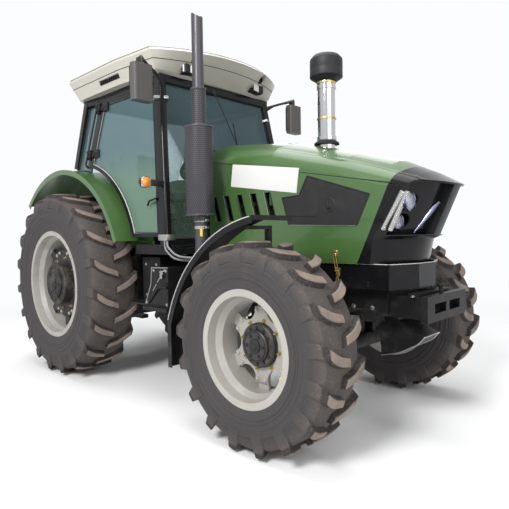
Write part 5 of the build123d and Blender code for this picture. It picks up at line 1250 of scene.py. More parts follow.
# ---- bonnet and nose
@dataclass
class BonnetTrim:
    """Bare plate, louvre edges, seams, latches and side screens of the bonnet."""

    ridge: tuple[tuple[float, float, float, float], ...] = (
        (1.655, 0.402, 1.925, 2.112), (2.330, 0.392, 1.850, 2.040), (2.910, 0.372, 1.715, 1.893),
        (3.200, 0.360, 1.625, 1.803), (3.400, 0.352, 1.600, 1.713), (3.570, 0.344, 1.560, 1.615))
    plate: tuple[Point, ...] = ((1.926, 1.795), (2.575, 1.7035))
    plate_width: float = 0.1735
    louvres: int = 5
    latch_x: float = 2.885
    band_y: float = 0.352

    def side_y(self, x: float) -> float:
        """Return the bonnet's half width at a place along it."""
        for (xa, ya, *_), (xb, yb, *_) in zip(self.ridge, self.ridge[1:]):
            if x <= xb:
                return ya + (yb - ya) * (x - xa) / (xb - xa)
        return self.ridge[-1][1]

    def strip(self, form: Form, a: Point, b: Point, wide: float, proud: float, side: int,
              parts: int) -> None:
        """Lay a flat strip on the bonnet's side.

        Args:
            form: Form that gets it.
            a: One end, as x and z.
            b: Other end.
            wide: Its width.
            proud: How far it stands out.
            side: 1 for left, -1 for right.
            parts: Lengths that it is bent in.
        """
        a, b = Vector(a), Vector(b)
        across = Vector((-(b - a).y, (b - a).x)).normalized() * wide / 2
        shoulder = proud * 0.5
        section = ((-1, -0.004), (-1, shoulder), (-0.7, proud), (0.7, proud), (1, shoulder), (1, -0.004))
        rows = []
        for i in range(parts + 1):
            p = a + (b - a) * i / parts
            y = side * self.side_y(p.x)
            rows.append([(p.x + s * across.x, y + side * out, p.y + s * across.y) for s, out in section])
        form.add_grid(rows, cap=True)

    def build(self) -> None:
        """Make the trim."""
        plates, edges, seams = Form(), Form(), Form()
        for side in (-1, 1):
            self.strip(plates, *self.plate, self.plate_width, 0.0035, side, 12)
            for i in range(self.louvres):
                x = 1.682 + 0.145 * i
                self.strip(edges, (x - 0.002, 1.642), (x + 0.055, 1.438), 0.006, 0.005, side, 2)
                self.strip(seams, (x + 0.057, 1.642), (x + 0.114, 1.438), 0.005, 0.004, side, 2)
            self.strip(seams, (1.662, 1.930), (3.29, 1.632), 0.005, 0.0012, side, 20)
        plates.piece("Bonnet_plates", Look.BLANK, "bonnet")
        edges.piece("Louvre_edges", Look.STEEL, "bonnet")
        seams.piece("Bonnet_seams", Look.RUBBER, "bonnet")
        self.screens()
        self.latches()

    def screens(self) -> None:
        """Make the side screens' frames, mesh ribs, knobs and lower edge strips."""
        corners = ((2.656, 1.728), (3.130, 1.575), (3.040, 1.385), (2.490, 1.400), (2.434, 1.589),
                   (2.585, 1.600))
        frames, ribs, knobs = Form(), Form(), Form()
        for side in (-1, 1):
            for a, b in zip(corners, corners[1:] + corners[:1]):
                self.strip(frames, a, b, 0.010, 0.003, side, 4)
            self.strip(ribs, (2.50, 1.394), (3.03, 1.380), 0.004, 0.006, side, 6)
            self.strip(ribs, (2.60, 1.42), (2.74, 1.69), 0.0025, -0.004, side, 4)
            self.strip(ribs, (2.93, 1.42), (3.03, 1.60), 0.0025, -0.004, side, 4)
            x, z = 2.83, 1.52
            y = side * (self.side_y(x) - 0.004)
            knobs.turned(((-0.006, 0), (-0.006, 0.050), (0.004, 0.050), (0.006, 0.044), (0.002, 0.038),
                          (0.002, 0.030), (0.010, 0.026), (0.012, 0.010), (0.012, 0)), (x, y, z),
                         (0, side, 0), 36)
            knobs.block((x - 0.005, y, z - 0.026), (x + 0.005, y + side * 0.018, z + 0.026), 0.002)
        frames.piece("Screen_frames", Look.RUBBER, "bonnet")
        ribs.piece("Screen_edges", Look.STEEL, "bonnet")
        knobs.piece("Screen_knobs", Look.PLASTIC, "bonnet")

    def latches(self) -> None:
        """Make the toggle latches that hold the bonnet to the band."""
        hooks, toggles = Form(), Form()
        x = self.latch_x
        for side in (-1, 1):
            y = side * (self.side_y(x) + 0.003)
            hooks.slab((x, y, 1.201), (0.014, 0.004, 0.021), 0.002)
            hooks.rod((x, y, 1.195), (x, y + side * 0.020, 1.195), 0.006, 12)
            hooks.rod((x, y, 1.212), (x, y + side * 0.010, 1.212), 0.005, 10)
            band, out = side * self.band_y, y + side * 0.017
            near, far = band + side * 0.012, band + side * 0.014
            toggles.slab((x, band + 0.001, 1.077), (0.016, 0.005, 0.029), 0.003)
            bail = ((-0.009, far, 1.085), (-0.009, out, 1.180), (-0.006, out, 1.200), (0.006, out, 1.200),
                    (0.009, out, 1.180), (0.009, far, 1.085))
            toggles.pipe([(x + dx, y, z) for dx, y, z in bail], 0.0028, 0.006)
            toggles.rod((x - 0.016, far, 1.083), (x + 0.016, far, 1.083), 0.006, 12)
            toggles.slab((x, band + side * 0.006 + 0.0025, 1.055), (0.010, 0.0075, 0.025), 0.004,
                         Matrix.Rotation(side * 0.12, 3, "X"))
            tail = ((-0.008, near, 1.036), (-0.009, far, 1.010), (0, far, 1.000), (0.009, far, 1.010),
                    (0.008, near, 1.036))
            toggles.pipe([(x + dx, y, z) for dx, y, z in tail], 0.0026, 0.008)
        hooks.piece("Latch_hooks", Look.BRASS, "bonnet")
        toggles.piece("Latch_toggles", Look.BRASS)


@dataclass
class NoseTrim:
    """Lamps, dotted strips and blades of the nose."""

    lamps: tuple[Point, ...] = ((3.356, 0.270, 1.521, 0.054), (3.275, 0.262, 1.400, 0.048))

    def build(self, repeat: Repeater) -> None:
        """Make the trim."""
        bowls, glass, bezels = Form(), Form(), Form()
        for x, y, z, r in self.lamps:
            for side in (-1, 1):
                place, ahead = (x, side * y, z), (1, 0, 0)
                bowls.turned(((-0.080, 0), (-0.080, r * 0.5), (-0.045, r * 0.93), (-0.004, r * 0.985),
                              (-0.004, r * 0.93), (-0.020, r * 0.86), (-0.050, r * 0.55), (-0.060, 0.012),
                              (-0.052, 0.008), (-0.050, 0)), place, ahead, 36)
                glass.turned(((-0.006, 0), (-0.006, r * 0.985), (-0.001, r * 0.985), (0.004, r * 0.9),
                              (0.009, r * 0.6), (0.011, 0)), place, ahead, 36)
                bezels.turned(((-0.020, r * 1.0), (0.004, r * 1.0), (0.008, r * 1.06), (0.002, r * 1.16),
                               (-0.020, r * 1.16)), place, ahead, 40, close=True)
        bowls.piece("Headlamp_bowls", Look.CHROME, "bonnet")
        glass.piece("Headlamp_glass", Look.CLEAR, "bonnet", replaces=("headlamps",))
        bezels.piece("Headlamp_bezels", Look.BLUED, "bonnet", slot="chrome")
        self.strips(repeat)

    def strips(self, repeat: Repeater) -> None:
        """Make the dotted bright strips beside the lamps and the blades between them."""
        bars, blades = Form(), Form()
        dots = []
        rows = (((3.350, 0.352, 1.579), (3.215, 0.352, 1.350)),
                ((3.369, 0.330, 1.579), (3.251, 0.330, 1.344)))
        for side in (-1, 1):
            for top, low in rows:
                a, b = (Vector((p[0], side * p[1], p[2])) for p in (top, low))
                self._ribbon(bars, a, b, 0.016, side)
                for i in range(12):
                    p = a + (b - a) * (i + 0.5) / 12
                    dots.append((tuple(p + Vector((0.006, side * 0.002, 0))), (0.82, side * 0.4, -0.35)))
            a, b = Vector((3.318, side * 0.150, 1.330)), Vector((3.446, side * 0.055, 1.515))
            self._blade(blades, a, b, side)
        bars.piece("Nose_strips", Look.STEEL, "bonnet")
        blades.piece("Nose_blades", Look.BLUED, "bonnet")
        dot = Form()
        dot.turned(((-0.002, 0), (-0.002, 0.0042), (0.0015, 0.0036), (0.003, 0)), (0, 0, 0), UP, 8)
        data = repeat.at_places(dot.mesh("dot", 60), dots, Look.CHROME)
        mount(joined("Nose_dots", (data,), 60), "Nose_dots", Look.CHROME, "bonnet")

    @staticmethod
    def _sweep(form: Form, a: Vector, b: Vector, out: Vector, widths: Sequence[Point],
               section: Sequence[Point]) -> None:
        """Sweep a flat section from a to b.

        Args:
            form: Form that gets it.
            a: One end.
            b: Other end.
            out: Direction that its face looks.
            widths: Share of the way and width of each row.
            section: Place across and height of each point of the section.
        """
        along = (b - a).normalized()
        out = (out - along * out.dot(along)).normalized()
        wide = along.cross(out).normalized()
        form.add_grid([[a + (b - a) * share + wide * half * across + out * rise for across, rise in section]
                       for share, half in widths], cap=True)

    def _ribbon(self, form: Form, a: Vector, b: Vector, half: float, side: int) -> None:
        """Add a ribbon with soft edges from a to b."""
        widths = ((0.0, half * 0.8), (0.02, half), (0.98, half), (1.0, half * 0.8))
        section = ((-1, -0.006), (-1, 0.003), (-0.7, 0.005), (0.7, 0.005), (1, 0.003), (1, -0.006))
        self._sweep(form, a, b, Vector((0.80, side * 0.5, -0.3)), widths, section)

    def _blade(self, form: Form, a: Vector, b: Vector, side: int) -> None:
        """Add a blade that widens upwards."""
        widths = ((0.0, 0.008), (0.4, 0.016), (0.8, 0.024), (1.0, 0.014))
        section = ((-1, -0.004), (-0.8, 0.004), (0, 0.008), (0.8, 0.004), (1, -0.004))
        self._sweep(form, a, b, Vector((0.9, side * 0.2, -0.4)), widths, section)


# ---- exhaust and intake
@dataclass
class StackTrim:
    """Rims, clamps and brackets of the exhaust, and the intake's cap and rings."""

    can: Point = (1.800, -0.620)
    can_radius: float = 0.110
    can_low: float = 1.480
    can_top: float = 2.160
    guard_radius: float = 0.057
    guard_top: float = 2.450
    intake: Point = (2.550, 0.0)

    def build(self, repeat: Repeater) -> None:
        """Make the trim."""
        x, y = self.can
        rims = Form()
        for z, r in ((self.can_low + 0.006, self.can_radius), (self.can_top - 0.006, self.can_radius),
                     (self.guard_top - 0.006, self.guard_radius), (self.can_top + 0.012, self.guard_radius)):
            rims.turned(((-0.008, r - 0.004), (-0.008, r + 0.002), (-0.004, r + 0.005), (0.004, r + 0.005),
                         (0.008, r + 0.002), (0.008, r - 0.004)), (x, y, z), UP, 56, close=True)
        rims.piece("Exhaust_rims", Look.MUFFLER_PLAIN)
        clamps = Form()
        for z in (self.can_low - 0.035, self.can_low - 0.09):
            clamps.turned(((-0.012, 0.050), (-0.012, 0.054), (0.012, 0.054), (0.012, 0.050)), (x, y, z),
                          UP, 40, close=True)
            clamps.slab((x + 0.063, y, z), (0.015, 0.014, 0.010), 0.003)
            clamps.rod((x + 0.065, y - 0.028, z), (x + 0.065, y + 0.028, z), 0.005, 10)
        clamps.piece("Exhaust_clamps", Look.STEEL)
        bolts = Fixings("Exhaust_bolts", Fastener.SMALL)
        bolts.ring((x, y, self.can_low), 0.085, 6, (0, 0, -1))
        bolts.build(repeat)
        tag = Form()
        tag.slab((x + 0.076, y - 0.060, 1.352), (0.014, 0.002, 0.030), 0.001)
        tag.rod((x + 0.076, y - 0.060, 1.380), (x + 0.056, y - 0.026, 1.400), 0.002, 8)
        tag.piece("Exhaust_tag", Look.TAG)
        self.build_intake()

    def build_intake(self) -> None:
        """Make the intake's cap, its brass rings and its clamp."""
        x, y = self.intake
        cap = Form()
        cap.turned(((2.466, 0), (2.466, 0.071), (2.470, 0.082), (2.500, 0.1215), (2.512, 0.1225),
                    (2.552, 0.1225), (2.556, 0.1215), (2.560, 0.1225), (2.622, 0.1225), (2.630, 0.1205),
                    (2.657, 0.098), (2.659, 0.090), (2.659, 0.030), (2.662, 0.026), (2.662, 0)), (x, y, 0),
                   UP, 64)
        for a in spokes(24):
            cap.rod(Vector((x, y, 2.478)) + a * 0.088, Vector((x, y, 2.502)) + a * 0.1235, 0.003, 6)
        cap.piece("Intake_cap", Look.PLASTIC, "bonnet")
        rings = Form()
        for z in (2.455, 2.190):
            rings.turned(((-0.007, 0.066), (-0.007, 0.0715), (0, 0.0735), (0.007, 0.0715), (0.007, 0.066)),
                         (x, y, z), UP, 48, close=True)
        rings.rod((x + 0.068, y - 0.02, 2.190), (x + 0.088, y - 0.02, 2.190), 0.006, 10)
        rings.piece("Intake_rings", Look.BRASS, "bonnet")
        collar = Form()
        collar.turned(((-0.020, 0.066), (-0.020, 0.094), (-0.008, 0.094), (0.006, 0.076), (0.012, 0.066)),
                      (x, y, 2.018), UP, 48, close=True)
        collar.piece("Intake_collar", Look.RUBBER, "bonnet")


# ---- cab
@dataclass
class CabTrim:
    """Seals, hinges, wiper, roof fittings and lamps of the cab."""

    hinge_low: Point = (0.310, 0.700, 2.120)
    hinge_top: Point = (0.420, 0.655, 2.550)
    post_low: Point = (1.540, 0.750, 1.300)
    post_top: Point = (1.320, 0.620, 2.640)
    roof_steps: tuple[float, ...] = (2.775, 2.862)
    roof_vent: Point = (1.492, 0.400, 2.802)
    roof_lamp: Point = (1.425, 0.400, 2.728)
    grille: Point = (0.710, 0.735, 2.736)
    grille_length: float = 0.330
    slats: int = 9
    tail_angle: float = 28.0
    tail_reach: float = 1.1623

    def post(self, z: float) -> Vector:
        """Return the front post's line at a height."""
        low, top = Vector(self.post_low), Vector(self.post_top)
        return low + (top - low) * (z - low.z) / (top.z - low.z)

    def build(self) -> None:
        """Make the trim."""
        self.seals()
        self.hinges()
        self.posts()
        self.roof()
        self.lamps()
        self.wiper()

    def seals(self) -> None:
        """Run bright seals round every pane."""
        for side, word in SIDES:
            pane = NodeEdges(f"door_glass_{word}").largest((0, side, 0.1))
            bright, dark = Form(), Form()
            seam(bright, pane, 0.0055, (0, side * 0.001, 0), -0.004)
            seam(dark, pane, 0.009, (0, -side * 0.008, 0), 0.006)
            bright.piece(f"Door_edge_{word}", Look.SEAL, f"door_{word}")
            dark.piece(f"Door_seal_{word}", Look.RUBBER, f"door_{word}")
        panes = NodeEdges("cab_glass")
        dark = Form()
        for facing in ((1, 0, 0.1), (-1, 0, 0.1), (0, -1, 0.1), (0, 1, 0.1)):
            seam(dark, panes.largest(facing), 0.008, tuple(0.001 * v for v in facing), 0.004)
        dark.piece("Window_seals", Look.RUBBER)

    def hinges(self) -> None:
        """Make the hinge blocks, the rod between them and the door's brackets."""
        low, top = Vector(self.hinge_low), Vector(self.hinge_top)
        up = (top - low).normalized()
        for side, word in SIDES:
            blocks, leaves = Form(), Form()
            flip = Vector((1, side, 1))
            for at in (low, top):
                x, y, z = at * flip
                blocks.slab((x - 0.0535, y + side * 0.016, z), (0.0315, 0.014, 0.046), 0.007)
                for pin in (Vector((x - 0.055, y + side * 0.024, z + dz)) for dz in (0.024, -0.022)):
                    blocks.rod(pin, pin + Vector((0, side * 0.020, 0)), 0.011, 14)
                leaves.slab((x + 0.072, y + side * 0.010, z), (0.048, 0.012, 0.040), 0.008)
                for dx in (0.050, 0.095):
                    leaves.turned(((0, 0), (0, 0.013), (0.006, 0.012), (0.010, 0.006), (0.010, 0)),
                                  (x + dx, y + side * 0.020, z), (0, side, 0), 16)
            a, b = (low - up * 0.10) * flip, (top + up * 0.07) * flip
            shift = Vector((-0.055, side * 0.034, 0))
            blocks.pipe((a + shift + Vector((0, -side * 0.03, -0.03)), a + shift, b + shift), 0.009, 0.03, 12)
            blocks.piece(f"Hinge_blocks_{word}", Look.PLASTIC)
            leaves.piece(f"Hinge_leaves_{word}", Look.PLASTIC, f"door_{word}")

    def posts(self) -> None:
        """Make the collars and brackets on the front posts and the tubes below them."""
        collars, tubes = Form(), Form()
        along = (Vector(self.post_top) - Vector(self.post_low)).normalized()
        for side in (-1, 1):
            flip = Vector((1, side, 1))
            at = self.post(2.465) * flip
            turn = (along * flip).to_track_quat("Z", "Y").to_matrix()
            collars.slab(at + Vector((-0.009, 0, 0)), (0.061, 0.036, 0.014), 0.008, turn)
            base = self.post(1.318) * flip
            collars.slab(base + Vector((-0.002, 0, -0.001)), (0.060, 0.046, 0.025), 0.006)
            for i, drop in enumerate((0.0, 0.022)):
                start = base + Vector((0.010 + 0.03 * i, side * 0.030, -0.02))
                steps = ((0, 0, 0), (0.010, 0.006, drop - 0.075), (0.130, 0.010, drop - 0.150),
                         (0.190 + 0.03 * i, -0.10, drop - 0.165))
                tubes.pipe([start + Vector(step) * flip for step in steps], 0.0085, 0.08, 10, 8)
        collars.piece("Post_collars", Look.STEEL, slot="alloy")
        tubes.piece("Post_tubes", Look.GREY_TUBE)

    def roof(self) -> None:
        """Make the roof's step lines, vents and side grilles."""
        outline = NodeEdges("roof")
        steps = Form()
        for height in self.roof_steps:
            seam(steps, outline.level(height), 0.0028)
        steps.piece("Roof_steps", Look.RUBBER)
        grilles, slats = Form(), Form()
        for side in (-1, 1):
            x, y, z = self.grille
            grilles.slab((x, side * y, z), (self.grille_length / 2, 0.004, 0.019), 0.003)
            for i in range(self.slats):
                along = x + self.grille_length * ((i + 0.5) / self.slats - 0.5)
                slats.slab((along, side * (y + 0.007), z), (0.003, 0.008, 0.017), 0.001)
        grilles.piece("Roof_grilles", Look.PLASTIC)
        slats.piece("Roof_slats", Look.BLACK, slot="black_plastic")
        vents = Form()
        for side in (-1, 1):
            place = Vector(self.roof_vent) * Vector((1, side, 1))
            vents.turned(((-0.03, 0), (-0.03, 0.033), (0.004, 0.033), (0.010, 0.030), (0.010, 0.025),
                          (-0.004, 0.023), (-0.010, 0.012), (-0.006, 0.0)), place, (1, 0, -0.12), 28)
            for y in (-0.011, 0.0, 0.011):
                vents.slab(place + Vector((0.004, y, 0)), (0.004, 0.0015, 0.022), 0.0005)
        vents.piece("Roof_vents", Look.PLASTIC)

    def lamps(self) -> None:
        """Make the roof lamps' faces, the turn lamps and the tail lamps."""
        faces, shells, amber, rings, red = Form(), Form(), Form(), Form(), Form()
        for side in (-1, 1):
            turn = Matrix.Rotation(radians(side * 14.0), 3, "Z")
            middle = Vector(self.roof_lamp) * Vector((1, side, 1)) + turn @ Vector((0.034, 0, 0))
            faces.slab(middle, (0.004, 0.076, 0.030), 0.003, turn)
            back = middle - turn @ Vector((0.033, 0, 0))
            for dz in (-0.034, 0.034):
                shells.slab(back + Vector((0, 0, dz)), (0.036, 0.079, 0.004), 0.003, turn)
            post = self.post(1.75) * Vector((1, side, 1))
            lamp = post + Vector((0, side * 0.190, 0))
            rings.turned(((-0.020, 0.030), (-0.020, 0.044), (0.020, 0.046), (0.024, 0.043), (0.020, 0.040),
                          (0.012, 0.038)), lamp, (1, 0, 0), 36, close=True)
            for s in (-1, 1):
                amber.turned(((-0.002, 0), (-0.002, 0.040), (0.004, 0.0385), (0.011, 0.028), (0.014, 0.0)),
                             lamp + Vector((s * 0.017, 0, 0)), (s, 0, 0), 36)
            shells.slab(post + Vector((0, side * 0.090, 0)), (0.030, 0.060, 0.024), 0.010)
            angle = radians(self.tail_angle)
            ahead = Vector((-sin(angle), 0, cos(angle)))
            tail = Vector(REAR.at(side * 0.775)) + ahead * self.tail_reach
            tilt = Matrix.Rotation(-angle, 3, "Y")
            red.slab(tail + Vector((0, -0.035, 0)), (0.040, 0.045, 0.006), 0.004, tilt)
            amber.slab(tail + Vector((0, 0.048, 0)), (0.040, 0.032, 0.006), 0.004, tilt)
        faces.piece("Roof_lamp_faces", Look.FROSTED)
        shells.piece("Lamp_shells", Look.PLASTIC)
        amber.piece("Turn_lamps", Look.AMBER)
        rings.piece("Turn_lamp_rings", Look.CHROME)
        red.piece("Tail_lamps", Look.RED)

    def wiper(self) -> None:
        """Make the windscreen's wiper."""
        arm = Form()
        ahead = Vector((1, 0, 0))
        foot = Vector((self.post(2.60).x + 0.075, -0.12, 2.60))
        tip = Vector((self.post(2.10).x + 0.070, 0.10, 2.12))
        arm.rod(foot - ahead * 0.03, foot + ahead * 0.02, 0.020, 18)
        bend = foot.lerp(tip, 0.15) + ahead * 0.018
        arm.pipe((foot + ahead * 0.012, bend, tip + ahead * 0.014), 0.005, 0.05, 8)
        arm.pipe((tip + Vector((0.010, -0.06, 0.22)), tip + Vector((-0.002, 0.06, -0.22))), 0.006, 0.01, 8)
        arm.piece("Wiper", Look.PLASTIC)


# ---- seat and controls
@dataclass
class Seat:
    """Padded cushion and back with sewn channels."""

    x: float = 0.560
    z: float = 1.660
    lean: float = 8.0
    swell: float = 0.012

    def pad(self, name: str, low: Point, high: Point, turn: Matrix) -> Object:
        """Blow up one rounded pad.

        Args:
            name: Its name.
            low: Lowest corner of the space it fills, from its own middle.
            high: Highest corner.
            turn: Place of its middle.

        Returns:
            The padded piece.
        """
        low, high = Vector(low), Vector(high)
        form = Form()
        shrink = Vector((0.006, 0.008, 0.008))
        form.block(low + shrink, high - shrink, 0.030, steps=4)
        data = form.mesh(name, 60)
        pad = in_scene(name, data)
        remesh = pad.modifiers.new("remesh", "REMESH")
        remesh.mode, remesh.voxel_size = "VOXEL", 0.006
        pad.data = evaluated(pad)
        start = [v.co.copy() for v in pad.data.vertices]
        cloth = pad.modifiers.new("cloth", "CLOTH")
        cloth.settings.use_pressure = True
        cloth.settings.uniform_pressure_force = 4.0
        cloth.settings.effector_weights.gravity = 0.0
        scene = bpy.context.scene
        for frame in range(1, 21):
            scene.frame_set(frame)
        pad.data = evaluated(pad)
        scene.frame_set(1)
        self._shape(pad.data, start, low, high)
        pad.data.transform(turn)
        return pad

    def _shape(self, data: Mesh, start: Sequence[Vector], low: Vector, high: Vector) -> None:
        """Limit the swelling, crown the pad and press the sewn channels into its face.

        Args:
            data: The pad's mesh.
            start: Where its points were.
            low: Lowest corner of its space.
            high: Highest corner.
        """
        middle, half = (low + high) / 2, (high - low) / 2
        for vert, before in zip(data.vertices, start):
            move = vert.co - before
            if move.length > self.swell:
                move = move.normalized() * self.swell
            point = before + move
            u, v = (point.x - middle.x) / half.x, (point.y - middle.y) / half.y
            up = (point.z - middle.z) / half.z
            if up > 0.3:
                groove = 0.0
                for line in (-0.48, 0.48):
                    groove += exp(-((v - line) * half.y / 0.007) ** 2)
                for line in (-0.45, 0.0, 0.45):
                    groove += 0.7 * exp(-((u - line) * half.x / 0.006) ** 2) * (abs(v) < 0.48)
                crown = 0.010 * (1 - u * u) * (1 - v * v) - 0.010 * min(1.0, groove)
                point.z += crown * min(1.0, (up - 0.3) / 0.4)
            for axis in range(3):
                point[axis] = min(high[axis] - 0.002, max(low[axis] + 0.001, point[axis]))
            vert.co = point
        data.shade_smooth()

    def build(self) -> None:
        """Make the cushion and the back."""
        flat = Matrix.Translation((self.x, 0, self.z))
        cushion = self.pad("Base_cushion", (-0.235, -0.195, 0.001), (0.235, 0.195, 0.118), flat)
        upright = Matrix.Rotation(radians(90.0 - self.lean), 4, "Y")
        tilt = Matrix.Translation((self.x - 0.260, 0, self.z + 0.270)) @ upright
        back = self.pad("Back_cushion", (-0.260, -0.195, -0.044), (0.260, 0.195, 0.044), tilt)
        for pad, nodes in ((cushion, ("seat_cushions",)), (back, ())):
            data, name = pad.data, pad.name
            bpy.data.objects.remove(pad)
            mount(data, name, Look.CLOTH, replaces=nodes)


@dataclass
class Controls:
    """Dash, levers, pedals and wheel grip inside the cab."""

    centre: Point = (1.080, 0.0, 1.990)
    tilt: float = 35.0

    def build(self) -> None:
        """Make the controls."""
        lean = radians(self.tilt)
        axis = Vector((-sin(lean), 0, cos(lean)))
        centre = Vector(self.centre)
        hub = Form()
        hub.turned(((-0.002, 0), (-0.002, 0.036), (0.006, 0.036), (0.011, 0.030), (0.012, 0)),
                   centre + axis * 0.014, axis, 32)
        hub.piece("Wheel_cap", Look.PLASTIC, "steering_wheel")
        grips = Form()
        side = Vector((0, 1, 0))
        for angle in (radians(degrees) for degrees in (90, 210, 330)):
            reach = side * cos(angle) + side.cross(axis) * sin(angle)
            grips.rod(centre + reach * 0.060, centre + reach * 0.180, 0.011, 14)
        grips.piece("Wheel_spokes", Look.STEEL, "steering_wheel")
        levers, knobs, panel, dials = Form(), Form(), Form(), Form()
        for i, (y, lean_y) in enumerate(((-0.33, -0.02), (-0.37, 0.01), (-0.41, 0.03))):
            foot, tip = (0.66 + 0.05 * i, y, 1.60), (0.70 + 0.05 * i, y + lean_y, 1.79 + 0.02 * i)
            levers.rod(foot, tip, 0.006, 10)
            knobs.turned(((-0.004, 0), (-0.004, 0.008), (0.012, 0.018), (0.032, 0.017), (0.040, 0.010),
                          (0.042, 0)), tip, Vector(tip) - Vector(foot), 20)
        panel.block((0.42, -0.46, 1.565), (0.86, -0.305, 1.612), 0.016)
        panel.block((0.44, -0.45, 1.235), (0.80, -0.315, 1.570), 0.014)
        levers.pipe(((1.06, 0.10, 1.94), (1.04, 0.20, 1.96), (1.03, 0.26, 1.97)), 0.006, 0.03)
        knobs.turned(((0, 0), (0, 0.010), (0.03, 0.012), (0.036, 0)), (1.03, 0.255, 1.97), (0, 1, 0.1), 16)
        for y, wide in ((-0.115, 0.035), (-0.06, 0.035), (0.10, 0.045)):
            levers.pipe(((1.40, y, 1.34), (1.30, y, 1.30), (1.25, y, 1.315)), 0.008, 0.03)
            panel.slab((1.2435, y, 1.3225), (0.0185, wide, 0.0225), 0.006, Matrix.Rotation(0.5, 3, "Y"))
        up = (-0.30, 0, 0.95)
        for y, r in ((-0.095, 0.032), (0.0, 0.046), (0.095, 0.032)):
            dials.turned(((-0.012, 0), (-0.012, r), (0.010, r), (0.012, r * 0.93), (0.006, r * 0.88),
                          (0.006, 0)), (1.275, y, 1.948), up, 32)
        levers.piece("Levers", Look.STEEL)
        knobs.piece("Lever_knobs", Look.PLASTIC)
        panel.piece("Side_console", Look.PLASTIC)
        dials.piece("Dash_dials", Look.PLASTIC)
        mat = Form()
        mat.block((0.42, -0.60, 1.2302), (1.38, 0.60, 1.236), 0.002)
        mat.piece("Floor_mat", Look.RUBBER)


@dataclass
class MirrorTrim:
    """Glass, rims and clamps of the mirrors."""

    middle: Point = (1.480, 0.915, 2.505)
    half_height: float = 0.140

    def build(self) -> None:
        """Make the trim."""
        glass, rims, clamps = Form(), Form(), Form()
        x, y, z = self.middle
        half = self.half_height
        for side in (-1, 1):
            glass.slab((x - 0.041, side * y, z), (0.0015, 0.068, half - 0.018), 0.001)
            bar = x - 0.030
            for end in (z - half + 0.010, z + half - 0.010):
                rims.rod((bar, side * (y - 0.062), end), (bar, side * (y + 0.062), end), 0.011, 12)
            for across in (side * y - 0.075, side * y + 0.075):
                rims.rod((bar, across, z - half + 0.022), (bar, across, z + half - 0.022), 0.011, 12)
            clamps.slab((x - 0.020, side * y, z + half + 0.031), (0.030, 0.016, 0.029), 0.008)
            arm = ((1.360, 0.640, 2.580), (1.400, 0.72, 2.640), (1.478, 0.905, 2.690), (1.480, 0.905, 2.640))
            clamps.pipe([(px, side * py, pz) for px, py, pz in arm], 0.010, 0.04, 12)
        glass.piece("Mirror_glass", Look.CHROME)
        rims.piece("Mirror_rims", Look.RUBBER)
        clamps.piece("Mirror_clamps", Look.PLASTIC)


# ---- running gear
@dataclass
class FrontTrim:
    """Bolts, tow pin, band edges and shield trim at the front."""

    band: tuple[Point, ...] = ((2.700, 0.3505), (3.255, 0.3505), (3.340, 0.121))
    band_top: float = 1.1345
    guard: tuple[Point, ...] = ((3.067, 0.502), (3.191, 0.536), (3.329, 0.612), (3.372, 0.662))
    guard_y: float = 0.111
    pin_x: float = 3.430
    pin_top: float = 0.985
    fender_middle: Point = (2.876, 0.4135)
    fender_radius: float = 1.040
    fender_y: float = 1.0105

    def build(self, repeat: Repeater) -> None:
        """Make the trim."""
        bolts = Fixings("Front_bolts", Fastener.LARGE)
        for x in (2.929, 3.072):
            bolts.at((x, -0.2355, 0.838), (0, -1, 0), both=True)
        for y in (-0.24, -0.17, 0.17, 0.24):
            bolts.at((3.355, y, 0.9355), UP)
        bolts.build(repeat)
        small = Fixings("Band_rivets", Fastener.SMALL, Look.BLACK)
        for x in (2.76, 3.09):
            for z in (0.995, 1.015):
                small.at((x + 0.02, -0.3515, z), (0, -1, 0), both=True)
        small.build(repeat)
        edge = Form()
        line = self.band + tuple((x, -y) for x, y in reversed(self.band))
        edge.pipe([(x, y, self.band_top) for x, y in line], 0.0028, 0.03, 8)
        edge.piece("Band_edge", Look.SEAL)
        pin = Form()
        x, top = self.pin_x, (self.pin_x, 0.0, self.pin_top)
        pin.rod((x, 0.0, 0.770), top, 0.013, 20)
        pin.turned(((0, 0), (0, 0.022), (0.010, 0.024), (0.018, 0.020), (0.022, 0.010), (0.022, 0)), top,
                   UP, 24)
        loop = ((-0.010, 1.006), (-0.020, 1.030), (0.0, 1.045), (0.020, 1.030), (0.010, 1.006))
        pin.pipe([(x, y, z) for y, z in loop], 0.004, 0.012, 10)
        pin.piece("Tow_pin", Look.BLACK)
        rim = Form()
        rim.pipe([(x, -self.guard_y, z) for x, z in self.guard], 0.004, 0.04, 8)
        rim.mirror()
        x, z = self.guard[-1]
        rim.pipe(((x, -self.guard_y, z), (x, self.guard_y, z)), 0.004, 0.01, 8)
        rim.piece("Guard_rim", Look.STEEL)
        (cx, cz), radius = self.fender_middle, self.fender_radius
        for side, word in SIDES:
            angles = (radians(degrees) for degrees in range(99, 163, 3))
            y = side * self.fender_y
            arc = [(cx + radius * cos(a), y, cz + radius * sin(a)) for a in angles]
            edge = Form()
            edge.pipe(arc, 0.0035, 0.02, 8, 2)
            edge.piece(f"Fender_edge_{word}", Look.SEAL, f"knuckle_{word}")


@dataclass
class AxleTrim:
    """Bolts of the front axle and its knuckles."""

    def build(self, repeat: Repeater) -> None:
        """Make the trim."""
        x, _, z = FRONT.at(0.0)
        bolts = Fixings("Axle_bolts", Fastener.MEDIUM)
        bolts.ring((x - 0.163, 0.0, z), 0.130, 10, (-1, 0, 0), pi / 10)
        for side in (-1, 1):
            for dx, y in ((-0.03, 0.61), (0.03, 0.61), (0.03, 0.65), (-0.03, 0.65)):
                bolts.at((x + dx, side * y, z + 0.2005), UP)
        bolts.build(repeat)
        for side, word in SIDES:
            caps = Fixings(f"Knuckle_bolts_{word}", Fastener.MEDIUM, body=f"knuckle_{word}")
            caps.ring(FRONT.at(side * 0.7605), 0.098, 8, (0, side, 0), pi / 8)
            caps.build(repeat)


